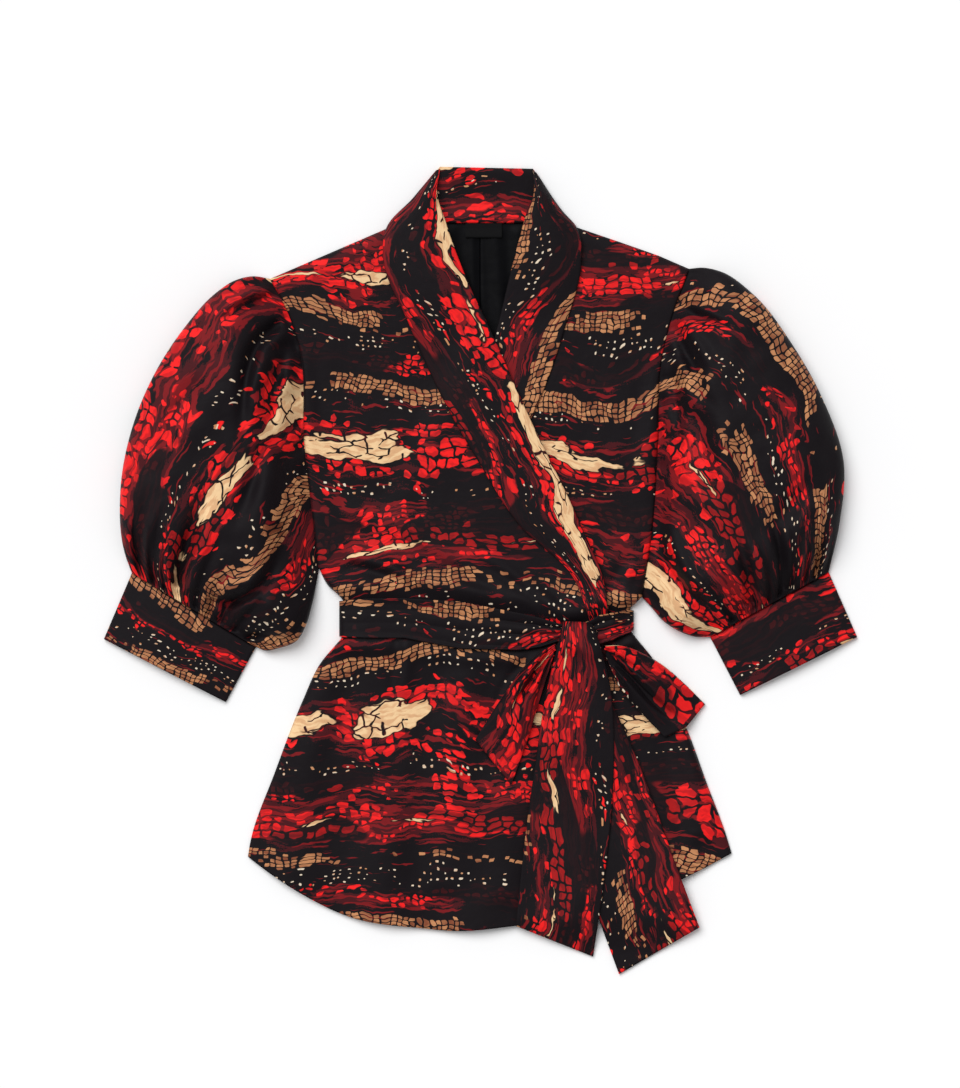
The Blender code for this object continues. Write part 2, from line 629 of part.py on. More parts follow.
def cuff(name, outer, inner, hem, finish):
    """Turned cuff: a flat tube with a swell in the middle and tight folds at its two sides."""
    seam = (outer[-1], inner[-1])
    width = np.linalg.norm(np.subtract(*hem))
    down = even(CUFF_ROWS)

    def plan_of(across):
        """Plan between the seam and the hem."""
        return patch(
            straight_line(seam, across), straight_line(hem, across),
            straight_line((seam[0], hem[0]), down), straight_line((seam[1], hem[1]), down), down, across,
        )

    across = edged(CUFF_UPPER, width, CUFF_EDGE)
    away = np.minimum(across, 1 - across) * width
    upper = CUFF_SIDE * (1 + rounded(away, CUFF_ROUND)) + CUFF_SWELL * np.sin(np.pi * across)
    lower_across = edged(CUFF_LOWER, width, CUFF_EDGE)
    lower_away = np.minimum(lower_across, 1 - lower_across) * width
    lower = CUFF_SIDE * (1 - rounded(lower_away, CUFF_ROUND))
    rows = np.ones((len(down), 1))
    grid = ring_grid(plan_of(across), rows * upper, plan_of(lower_across), rows * lower)
    return sheet(name, grid, CUFF_CLOTH, finish, ring=True)


def belt(finish):
    """The belt as one ring round the waist: shaped in front, straight behind."""
    rows = np.array(BELT_ROWS)
    width = rows[-1, 0] - rows[0, 0]
    down = even(BELT_FACES)

    def section(across):
        """Place along X, and the distance from the nearer side."""
        x = rows[0, 0] + across * width
        away = np.minimum(across, 1 - across) * width
        return x, away

    across = edged(BELT_UPPER, width, BELT_EDGE)
    x, away = section(across)
    edges = [np.interp(x, rows[:, 0], rows[:, k]) for k in (1, 2)]
    y = edges[0] + (edges[1] - edges[0]) * down[:, None]
    upper = BELT_SIDE + (belt_rise(x) + TIE_CLOTH - BELT_SIDE) * rounded(away, BELT_ROUND)
    lower_across = edged(BELT_LOWER, width, BELT_EDGE)
    lower_x, lower_away = section(lower_across)
    ends = rows[[0, -1]]
    back_edges = [np.interp(lower_x, ends[:, 0], ends[:, k]) for k in (1, 2)]
    lower_y = back_edges[0] + (back_edges[1] - back_edges[0]) * down[:, None]
    lower = BELT_SIDE * (1 - rounded(lower_away, BELT_ROUND_BELOW))
    one = np.ones((len(down), 1))
    front = np.stack([one * x, y], axis=-1)
    behind = np.stack([one * lower_x, lower_y], axis=-1)
    grid = ring_grid(front, one * upper, behind, one * lower)
    return sheet("belt", grid, TIE_CLOTH, finish, ring=True)


def knot(finish):
    """The knot's core: a soft flattened ball under the tie end that comes over it."""
    around, up = GRID_KNOT
    mesh = bpy.data.meshes.new("knot")
    ball = bmesh.new()
    bmesh.ops.create_uvsphere(ball, u_segments=around, v_segments=up, radius=1.0)
    ball.to_mesh(mesh)
    ball.free()
    points = np.empty(len(mesh.vertices) * 3)
    mesh.vertices.foreach_get("co", points)
    points = points.reshape(-1, 3)
    turn = np.arctan2(points[:, 1], points[:, 0])
    squared = np.sign(points) * np.abs(points) ** KNOT_SQUARED
    squared[:, :2] *= (1 + KNOT_RIPPLE * np.cos(KNOT_RIPPLES * turn))[:, None]
    mesh.vertices.foreach_set("co", ((squared * KNOT_HALF + KNOT) * MM).astype(np.float32).ravel())
    mesh.shade_smooth()
    made = bpy.data.objects.new("knot", mesh)
    made.data.materials.append(finish)
    return made


def bow_loop(name, outer, inner, end, low, pleats, finish):
    """Bow loop: out from the knot along the floor of the loop, round its end fold and back on top."""
    along, across = even(GRID_LOOP[0]), even(GRID_LOOP[1])
    start = straight_line((outer[0], inner[0]), across)
    plan = patch(
        start, straight_line(end, across), smooth_line(outer, along), smooth_line(inner, along),
        along, across,
    )
    away = np.subtract(np.mean(end, axis=0), np.mean((outer[0], inner[0]), axis=0))
    away /= np.linalg.norm(away)
    fold = TIE_CLOTH + LOOP_FOLD
    plan = plan - away * fold * (along**LOOP_TUCK)[:, None, None]
    under = low(plan[..., 0], plan[..., 1])
    swell = LOOP_SWELL * (1 - along)[:, None] * (0.5 - 0.5 * np.cos(2 * np.pi * pleats * across))[None]
    upper = under + 2 * fold + swell
    turn = np.radians(np.linspace(*LOOP_BEND))[:, None]
    tip = plan[-1][None] + away * fold * np.sin(turn)[..., None]
    bend = under[-1] + fold * (1 - np.cos(turn))
    grid = np.concatenate([level_grid(plan, under), level_grid(tip, bend), level_grid(plan, upper)[::-1]])
    return sheet(name, grid, TIE_CLOTH, finish)


def tie_end(name, right, left, low, finish):
    """One free end of the tie, flat, with a straight cut foot."""
    down, across = even(GRID_TAIL[0]), even(GRID_TAIL[1])
    plan = patch(
        straight_line((right[0], left[0]), across), straight_line((right[-1], left[-1]), across),
        smooth_line(right, down), smooth_line(left, down), down, across,
    )
    height = low(plan[..., 0], plan[..., 1])
    return sheet(name, level_grid(plan, height + TIE_CLOTH), TIE_CLOTH, finish)


def tie_pieces(finish):
    """Knot, loops and ends of the tie, each lying on what is beneath it."""

    def front_end_low(x, y):
        """Underside of the front end: over the knot, down on the layers, and on the floor past the hem."""
        rise = np.array(TAIL_RISE[::-1])
        above = body_rise(x, y) + TAIL_FRONT_LIES + np.interp(y, rise[:, 0], rise[:, 1])
        return above + (TAIL_FRONT_FOOT - above) * smooth(-y, *TAIL_FALL)

    def back_end_low(x, y):
        """Underside of the end behind: on the lower peplum, and on the floor past the hem."""
        above = body_rise(x, y) + TAIL_BACK_LIES
        return above + (EDGE_REST - above) * smooth(-y, *TAIL_FALL)

    def right_loop_low(x, y):
        """Underside of the loop on the upper peplum."""
        return body_rise(x, y) + LAP_BODICE + LOOP_RIGHT_LIES

    def left_loop_low(x, y):
        """Underside of the loop that overhangs the lower peplum's side."""
        side = np.array(PEPLUM_LEFT[::-1])
        beyond = smooth(x - np.interp(y, side[:, 1], side[:, 0]), *LOOP_OVERHANG)
        above = body_rise(x, y) + CLOTH + LAYER_GAP + LOOP_LEFT_CLIMB * smooth(-x, *LOOP_CLIMB)
        return above + (EDGE_REST + LOOP_LEFT_FLOOR - above) * beyond

    right_end = (LOOP_RIGHT_OUTER[-1], LOOP_RIGHT_INNER[-1])
    return [
        knot(finish),
        bow_loop(
            "loop_right", LOOP_RIGHT_OUTER, LOOP_RIGHT_INNER, right_end,
            right_loop_low, LOOP_RIGHT_PLEATS, finish,
        ),
        bow_loop(
            "loop_left", LOOP_LEFT_OUTER, LOOP_LEFT_INNER, LOOP_LEFT_END,
            left_loop_low, LOOP_LEFT_PLEATS, finish,
        ),
        tie_end("tail_front", TAIL_FRONT_RIGHT, TAIL_FRONT_LEFT, front_end_low, finish),
        tie_end("tail_back", TAIL_BACK_RIGHT, TAIL_BACK_LEFT, back_end_low, finish),
    ]


def clear_scene():
    """Removes the objects of the scene that the script starts in."""
    for old in list(bpy.data.objects):
        bpy.data.objects.remove(old)


def main():
    """Models every piece of the top and puts them in one collection."""
    clear_scene()
    ground = material("print_black", *BLACK_PRINT)
    red = material("print_red", *RED_PRINT)
    lining = material("lining_black", *LINING_BLACK)
    pieces = back_pieces(ground) + neck_pieces(red, lining)
    pieces += [
        bodice_front("front_over", ARMHOLE_RIGHT, SIDE_RIGHT, SHOULDER_RIGHT, LAP_OVER, over_rise, red),
        bodice_front("front_under", ARMHOLE_LEFT, SIDE_LEFT, SHOULDER_LEFT, LAP_UNDER, body_rise, red),
        peplum_front("peplum_over", PEPLUM_RIGHT, PEPLUM_FRONT_OVER, HEM_OVER, over_rise, ground),
        peplum_front("peplum_under", PEPLUM_LEFT, PEPLUM_FRONT_UNDER, HEM_UNDER[::-1], body_rise, ground),
        collar_band(
            "collar_over", BAND_OVER_OUTER, BAND_OVER_INNER, over_rise,
            OVER_ROLL_FROM, OVER_CROWN_FROM, ground,
        ),
        collar_band(
            "collar_under", BAND_UNDER_OUTER, BAND_UNDER_INNER, body_rise,
            UNDER_ROLL_FROM, UNDER_CROWN_FROM, ground,
        ),
        sleeve(
            "sleeve_right", ARMHOLE_RIGHT, SLEEVE_OUTER_RIGHT, SLEEVE_INNER_RIGHT, SLEEVE_FOLDS_RIGHT, red
        ),
        sleeve("sleeve_left", ARMHOLE_LEFT, SLEEVE_OUTER_LEFT, SLEEVE_INNER_LEFT, SLEEVE_FOLDS_LEFT, red),
        cuff("cuff_right", SLEEVE_OUTER_RIGHT, SLEEVE_INNER_RIGHT, CUFF_HEM_RIGHT, ground),
        cuff("cuff_left", SLEEVE_OUTER_LEFT, SLEEVE_INNER_LEFT, CUFF_HEM_LEFT, ground),
        belt(ground),
    ]
    pieces += tie_pieces(red)
    group = bpy.data.collections.new("wrap_top")
    bpy.context.scene.collection.children.link(group)
    for piece in pieces:
        group.objects.link(piece)


main()
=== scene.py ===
"""Looks of the wrap top: cloth panels with their folds, a printed cloth, a black lining and the studio.

The top lies flat and face up. The back is on z = 0, +Y points to the neck and +X to the wearer's left
sleeve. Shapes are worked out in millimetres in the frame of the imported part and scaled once, where a
mesh is made.
"""

import logging
from dataclasses import dataclass
from enum import Enum, IntEnum
from typing import Callable, Sequence
import bpy
import numpy as np
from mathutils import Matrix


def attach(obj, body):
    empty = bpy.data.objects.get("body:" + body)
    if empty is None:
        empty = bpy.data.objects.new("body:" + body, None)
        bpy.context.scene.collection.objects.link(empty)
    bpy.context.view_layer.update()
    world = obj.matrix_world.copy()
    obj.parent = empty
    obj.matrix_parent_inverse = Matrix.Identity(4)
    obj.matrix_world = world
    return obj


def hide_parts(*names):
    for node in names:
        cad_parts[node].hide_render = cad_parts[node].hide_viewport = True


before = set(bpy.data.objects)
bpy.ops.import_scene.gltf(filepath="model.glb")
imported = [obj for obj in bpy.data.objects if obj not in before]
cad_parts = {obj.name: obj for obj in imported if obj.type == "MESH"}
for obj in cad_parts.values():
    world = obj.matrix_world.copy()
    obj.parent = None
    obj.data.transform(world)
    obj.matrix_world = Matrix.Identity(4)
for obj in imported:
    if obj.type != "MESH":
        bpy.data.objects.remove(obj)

Array = np.ndarray
Rows = Sequence[Sequence[float]]
Span = tuple[float, float]
Rise = Callable[[Array, Array], Array]

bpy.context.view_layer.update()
LOG = logging.getLogger("wrap_top")
MM = 0.001
BODY = "root"

CLOTH_MAP = "cloth"

PRINT_SLOT = "print_cloth"
LINING_SLOT = "lining"
LABEL_SLOT = "label"

# Value noise: random numbers along each side of its lattice
LATTICE = 64

# Listed folds: runs of the line, the crest's place and width in widths of the trough, and the least fade
FOLD_RUNS = 14
CREST_AWAY = 1.9
CREST_WIDTH = 1.3
LEAST_FADE = 0.001

# Pleats taken into a seam: cells of their wander and of their depth, counted in pleats, how far they
# wander, how much their depth varies, and the power that narrows a valley
PLEAT_WANDER_CELL = 1.7
PLEAT_DEPTH_CELL = 1.1
PLEAT_WANDER = 0.3
PLEAT_UNEVEN = 0.25
PLEAT_POWER = 0.85


class Side(Enum):
    """Which of the wearer's sides a piece is on. The value is the sign of its x."""

    RIGHT = -1
    LEFT = 1

    @property
    def word(self) -> str:
        """The side as it stands in the names of nodes."""
        return self.name.lower()


class Held(Enum):
    """How a sheet of cloth is kept in its shape."""

    LAID = "laid"
    GATHERED = "gathered"
    FOLDED = "folded"


class Seed(IntEnum):
    """Which set of random numbers each unevenness draws. The stand and the sleeve heads share one."""

    PUFF_WIDE = 5
    PUFF_FINE = 6
    DRAPE_WIDE = 11
    DRAPE_NARROW = 12
    BLOUSE = 13
    CUFF_GATHERS = 21
    HEAD_GATHERS = 31
    STAND = 31
    CUFF = 41
    BELT = 51
    TIE_END = 61
    REACH = 71


def smooth(value: Array | float, low: float, high: float) -> Array:
    """An S curve from 0 at low to 1 at high: 3t squared minus 2t cubed of the clipped share t.

    Args:
        value: Numbers to grade.
        low: Where the curve leaves 0.
        high: Where it reaches 1.

    Returns:
        Shares from 0 to 1.
    """
    t = np.clip((np.asarray(value, float) - low) / (high - low), 0, 1)
    return t * t * (3 - 2 * t)


def steps(value: Array, rows: Rows) -> Array:
    """Sum of S curves: rows of where one starts, where it ends and how far it rises."""
    return sum(rise * smooth(value, start, end) for start, end, rise in rows)


def bell(distance: Array, width: float) -> Array:
    """A bell curve: e to the power of minus the square of the distance counted in widths."""
    return np.exp(-((distance / width) ** 2))


def rounded(distance: Array, radius: float) -> Array:
    """Height share of a quarter round: the root of 1 minus the square of what is left to the radius.

    Args:
        distance: Distance from the edge.
        radius: Distance at which the full height is reached.

    Returns:
        Shares from 0 at the edge to 1.
    """
    t = 1 - np.clip(np.asarray(distance, float) / radius, 0, 1)
    return np.sqrt(1 - t * t)


def even(count: int) -> Array:
    """Shares from 0 to 1 in even steps."""
    return np.linspace(0, 1, count + 1)


def crowded(count: int, crowding: float = 0.6) -> Array:
    """Shares from 0 to 1 that stand closer together at both ends: even steps mixed with a half cosine."""
    t = even(count)
    return (1 - crowding) * t + crowding * (0.5 - 0.5 * np.cos(np.pi * t))


def lengths(points: Array) -> Array:
    """Distance of each point from the first along the line."""
    gaps = np.linalg.norm(np.diff(points, axis=0), axis=1)
    return np.concatenate([[0.0], np.cumsum(gaps)])


def smooth_line(rows: Rows, fractions: Array) -> Array:
    """Points on a cubic Hermite curve through the rows, whose slope at a row is that of its neighbours.

    Args:
        rows: Points of the line.
        fractions: Shares of its length.

    Returns:
        One point for each share.
    """
    points = np.array(rows, float)
    run = lengths(points)
    slope = np.gradient(points, run, axis=0)
    at = np.asarray(fractions, float) * run[-1]
    i = np.clip(np.searchsorted(run, at, side="right") - 1, 0, len(run) - 2)
    span = (run[i + 1] - run[i])[:, None]
    t = (at - run[i])[:, None] / span
    return (
        (2 * t**3 - 3 * t**2 + 1) * points[i]
        + (t**3 - 2 * t**2 + t) * span * slope[i]
        + (3 * t**2 - 2 * t**3) * points[i + 1]
        + (t**3 - t**2) * span * slope[i + 1]
    )


def straight_line(rows: Rows, fractions: Array) -> Array:
    """Points at these shares of the length of the straight runs between the rows."""
    points = np.array(rows, float)
    run = lengths(points)
    at = np.asarray(fractions, float) * run[-1]
    return np.stack([np.interp(at, run, points[:, k]) for k in (0, 1)], axis=1)


def patch(top: Array, bottom: Array, left: Array, right: Array, down: Array, across: Array) -> Array:
    """Coons patch: blend of top and bottom plus blend of left and right, less that of the four corners.

    Args:
        top: Points of the first row.
        bottom: Points of the last row.
        left: Points of the first column.
        right: Points of the last column.
        down: Share of each row along the columns.
        across: Share of each column along the rows.

    Returns:
        Grid of x, y that meets the four edges.
    """
    top, bottom = top[None], bottom[None]
    left, right = left[:, None], right[:, None]
    u, v = np.asarray(down)[:, None, None], np.asarray(across)[None, :, None]
    corners = (
        (1 - u) * (1 - v) * left[0, 0]
        + (1 - u) * v * right[0, 0]
        + u * (1 - v) * left[-1, 0]
        + u * v * right[-1, 0]
    )
    return (1 - u) * top + u * bottom + (1 - v) * left + v * right - corners


def nearest_on(plan: Array, line: Array) -> tuple[Array, Array]:
    """Where each grid point stands beside a line of straight runs.

    Args:
        plan: Grid of x, y.
        line: Points of the line.

    Returns:
        Signed distance, positive on the left of the line's direction, and the share of its length.
    """
    best = np.full(plan.shape[:-1], np.inf)
    along = np.zeros(plan.shape[:-1])
    run = lengths(line)
    for start, end, before in zip(line[:-1], line[1:], run[:-1]):
        way = end - start
        t = np.clip(((plan - start) @ way) / (way @ way), 0, 1)
        off = plan - start - t[..., None] * way
        distance = np.linalg.norm(off, axis=-1)
        left = way[0] * off[..., 1] - way[1] * off[..., 0] >= 0
        closer = distance < np.abs(best)
        best = np.where(closer, np.where(left, distance, -distance), best)
        along = np.where(closer, (before + t * np.linalg.norm(way)) / run[-1], along)
    return best, along


def quad(corners: Rows, down: Array, across: Array) -> Array:
    """Patch between four straight edges, whose corners are top, top, foot, foot."""
    return patch(
        straight_line(corners[:2], across), straight_line(corners[2:], across),
        straight_line(corners[::2], down), straight_line(corners[1::2], down), down, across,
    )


def distance_to(plan: Array, *lines: Array) -> Array:
    """Plan distance of every grid point from the nearest of some lines of straight runs."""
    return np.min([np.abs(nearest_on(plan, line)[0]) for line in lines], axis=0)


def noise(x: Array, y: Array, cell: float, seed: int) -> Array:
    """Value noise: seeded random numbers at the corners of square cells, blended by S curves between them.

    Args:
        x: First coordinate.
        y: Second coordinate.
        cell: Side of a cell.
        seed: Which set of random numbers.

    Returns:
        Numbers from -1 to 1.
    """
    lattice = np.random.default_rng(int(seed)).uniform(-1, 1, (LATTICE, LATTICE))
    gx, gy = np.asarray(x) / cell + LATTICE / 2, np.asarray(y) / cell + LATTICE / 2
    i, j = np.floor(gx).astype(int), np.floor(gy).astype(int)
    u, v = smooth(gx - i, 0, 1), smooth(gy - j, 0, 1)
    i, j, i1, j1 = i % LATTICE, j % LATTICE, (i + 1) % LATTICE, (j + 1) % LATTICE
    low = lattice[i, j] * (1 - u) + lattice[i1, j] * u
    high = lattice[i, j1] * (1 - u) + lattice[i1, j1] * u
    return low * (1 - v) + high * v


def gathers(across: Array, count: int, seed: int) -> Array:
    """Pleats taken into a seam: 1 less the size of a sine whose spacing wanders, so valleys are sharp.

    Args:
        across: Shares of the seam's length.
        count: How many pleats it takes in.
        seed: Which uneven spacing.

    Returns:
        Depth shares, 1 in a valley and 0 on a crest.
    """
    pleats, level = across * count, np.zeros_like(across)
    wander = noise(pleats, level, PLEAT_WANDER_CELL, seed)
    depth = 1 - PLEAT_UNEVEN + PLEAT_UNEVEN * noise(pleats, level, PLEAT_DEPTH_CELL, seed + 1)
    return depth * (1 - np.abs(np.sin(np.pi * (pleats + PLEAT_WANDER * wander))) ** PLEAT_POWER)


@dataclass(frozen=True)
class Fold:
    """One given crease: a trough along a smooth line and a softer crest on one side of it.

    The height is minus trough times a bell over the width, plus crest times a wider bell beside it,
    both faded in from the first end and out to the last.
    """

    points: Rows
    width: float
    trough: float
    crest: float = 0.0
    left: bool = True
    fade_in: float = 0.25
    fade_out: float = 0.4

    def height(self, plan: Array) -> Array:
        """Change of height at every grid point.

        Args:
            plan: Grid of x, y.

        Returns:
            Millimetres to add to the height.
        """
        off, along = nearest_on(plan, smooth_line(self.points, even(FOLD_RUNS)))
        off = off if self.left else -off
        shown = smooth(along, -LEAST_FADE, self.fade_in)
        shown = shown * (1 - smooth(along, 1 - self.fade_out, 1 + LEAST_FADE))
        crest = self.crest * bell(off - CREST_AWAY * self.width, CREST_WIDTH * self.width)
        return (crest - self.trough * bell(off, self.width)) * shown


def folded(plan: Array, folds: Sequence[Fold]) -> Array:
    """Sum of the folds' heights at every grid point."""
    return sum((fold.height(plan) for fold in folds), np.zeros(plan.shape[:-1]))


# Where a piece is cut from the print, in metres, if not where it lies
CUT_FROM: dict[str, Span] = {
    "collar_stand": (0.0, -0.03), "collar_under": (0.05, 0.18), "collar_over": (0.31, 0.045),
    "sleeve_right": (0.1, 0.02), "sleeve_left": (0.45, 0.16), "cuff_right": (0.3, 0.19),
    "cuff_left": (0.1, 0.03), "belt": (0.0, 0.255), "knot": (0.2, 0.24), "loop_right": (0.1, 0.0),
    "loop_left": (0.3, 0.13), "tail_back": (0.05, 0.23), "tail_front": (0.3, 0.0),
}


@dataclass
class Cloth:
    """The wall grows inwards from the grid's outer side. The map, in metres, is the flat cut: the print
    follows it, and the cut's size is read from it.
    """

    name: str
    grid: Array
    flat: Array
    wall: float
    material: bpy.types.Material
    slot: str = PRINT_SLOT
    held: Held = Held.LAID
    rests_on: Sequence[str] = ()
    ring: bool = False
    down: bool = False

    def corners(self) -> tuple[Array, Array]:
        """Indices of the four corners of each face, into the points and into the map."""
        rows, columns = self.grid.shape[:2]
        wide = self.flat.shape[1]
        last = columns if self.ring else columns - 1
        i, j = np.meshgrid(np.arange(rows - 1), np.arange(last), indexing="ij")
        after = (j + 1) % columns
        faces = [i * columns + j, (i + 1) * columns + j, (i + 1) * columns + after, i * columns + after]
        mapped = [i * wide + j, (i + 1) * wide + j, (i + 1) * wide + j + 1, i * wide + j + 1]
        return np.stack(faces, axis=-1).reshape(-1, 4), np.stack(mapped, axis=-1).reshape(-1, 4)

    def outward(self, faces: Array) -> bool:
        """Whether the faces already turn to the grid's outer side."""
        corner = self.grid.reshape(-1, 3)[faces]
        normal = np.cross(corner[:, 2] - corner[:, 0], corner[:, 3] - corner[:, 1])
        if self.ring:
            each = len(faces) // (len(self.grid) - 1)
            middle = np.repeat(self.grid[:-1].mean(axis=1), each, axis=0)
            return bool(((corner.mean(axis=1) - middle) * normal).sum() > 0)
        last_row = normal[1 - self.grid.shape[1] :, 2].sum()
        return bool(last_row * (-1 if self.down else 1) > 0)

    def build(self) -> bpy.types.Object:
        """Returns:
            The finished piece, riding on the body and standing for its node.
        """
        self.flat = self.flat + CUT_FROM.get(self.name, (0.0, 0.0))
        faces, mapped = self.corners()
        if not self.outward(faces):
            faces, mapped = faces[:, ::-1], mapped[:, ::-1]
        mesh = bpy.data.meshes.new(self.name)
        points = self.grid.reshape(-1, 3) * MM
        mesh.vertices.add(len(points))
        mesh.vertices.foreach_set("co", points.astype(np.float32).ravel())
        mesh.loops.add(faces.size)
        mesh.loops.foreach_set("vertex_index", faces.astype(np.int32).ravel())
        mesh.polygons.add(len(faces))
        mesh.polygons.foreach_set("loop_start", np.arange(0, faces.size, 4, dtype=np.int32))
        mesh.uv_layers.new(name=CLOTH_MAP)
        places = self.flat.reshape(-1, 2)[mapped]
        mesh.uv_layers[CLOTH_MAP].uv.foreach_set("vector", places.astype(np.float32).ravel())
        mesh.update(calc_edges=True)
        mesh.validate()
        mesh.shade_smooth()
        mesh.materials.append(self.material)
        piece = bpy.data.objects.new("cloth_" + self.name, mesh)
        bpy.context.scene.collection.objects.link(piece)
        wall = piece.modifiers.new("wall", "SOLIDIFY")
        wall.thickness = self.wall * MM
        wall.offset = -1.0
        self.declare(piece)
        return piece

    def declare(self, piece: bpy.types.Object) -> None:
        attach(piece, BODY)
        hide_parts(self.name)
        low, high = self.flat.reshape(-1, 2).min(axis=0), self.flat.reshape(-1, 2).max(axis=0)
        size = high - low
        first = self.flat[1:, 1:] - self.flat[:-1, :-1]
        second = self.flat[1:, :-1] - self.flat[:-1, 1:]
        area = abs(first[..., 0] * second[..., 1] - first[..., 1] * second[..., 0]).sum() / 2
        area = min(float(area), float(size.prod()))
        LOG.info("%s: cut %.0f x %.0f mm, %d faces", piece.name, *(size / MM), len(piece.data.polygons))


def level_grid(plan: Array, height: Array) -> Array:
    """Grid of x, y, z from a plan and its heights."""
    return np.concatenate([plan, height[..., None]], axis=-1)


def ring_grid(plan_upper: Array, upper: Array, plan_lower: Array, lower: Array) -> Array:
    """Closed rings from an upper half and a lower half that share their two edges."""
    back = slice(-2, 0, -1)
    return np.concatenate([level_grid(plan_upper, upper), level_grid(plan_lower, lower)[:, back]], axis=1)


def ring_map(along: Array, across_upper: Array, across_lower: Array, width: float) -> Array:
    """Flat map of a tube: length along it, and twice its flat width round it, in metres.

    Args:
        along: Distance of each row from the first in millimetres, in one column or in the map's columns.
        across_upper: Shares of the upper half's columns.
        across_lower: Shares of the lower half's columns.
        width: Flat width of the tube in millimetres.

    Returns:
        Grid of map coordinates with one column more than the ring has, for its closing edge.
    """
    round_it = np.concatenate([across_upper, 2 - across_lower[-2:0:-1], [2.0]]) * width
    shape = (len(along), len(round_it))
    return np.stack([np.broadcast_to(along, shape), np.broadcast_to(round_it, shape)], axis=-1) * MM


def from_last_row(grid: Array) -> Array:
    """Length of each column of a tube from its last row, along the grid, and the first column again."""
    gaps = np.linalg.norm(np.diff(grid, axis=0), axis=2)
    run = np.concatenate([np.cumsum(gaps[::-1], axis=0)[::-1], np.zeros((1, grid.shape[1]))])
    return np.concatenate([run, run[:, :1]], axis=1)


def strip_map(run: Array, across: Array, width: float) -> Array:
    """Flat map of a strip in metres, from each row's distance, each column's share and the width."""
    return np.stack(np.meshgrid(run, across * width, indexing="ij"), axis=-1) * MM


def band_map(left: Array, right: Array, across: Array) -> Array:
    """Flat map of a band in metres: as long as its middle line and as wide as its widest place."""
    return strip_map(lengths((left + right) / 2), across, np.linalg.norm(left - right, axis=1).max())


def plan_map(plan: Array) -> Array:
    """Flat map of a piece that lies as it was cut: its own plan in metres."""
    return plan * MM


# Inner edge of the lower collar band, which the upper front climbs over
UNDER_INNER: Rows = (
    (51.5, 400.0), (53.5, 380.5), (45.5, 355.9), (32.2, 306.5), (11.0, 225.0), (-20.0, 151.0),
    (-70.0, 49.5), (-98.0, -18.0), (-104.0, -47.0),
)
# The belt in front: x, and y of its upper and of its lower edge
BELT_EDGES: Rows = (
    (-141.2, -30.5, -66.0), (-112.0, -28.2, -66.8), (-76.0, -27.8, -67.0), (-20.0, -31.0, -77.5),
    (39.5, -42.5, -78.5), (59.5, -47.0, -75.5), (77.5, -52.5, -69.5), (84.0, -54.5, -64.0),
    (97.0, -54.0, -66.0), (110.0, -49.5, -73.0), (118.0, -44.5, -72.5), (131.5, -42.0, -68.5),
    (149.5, -39.5, -61.5), (153.2, -40.0, -59.0),
)


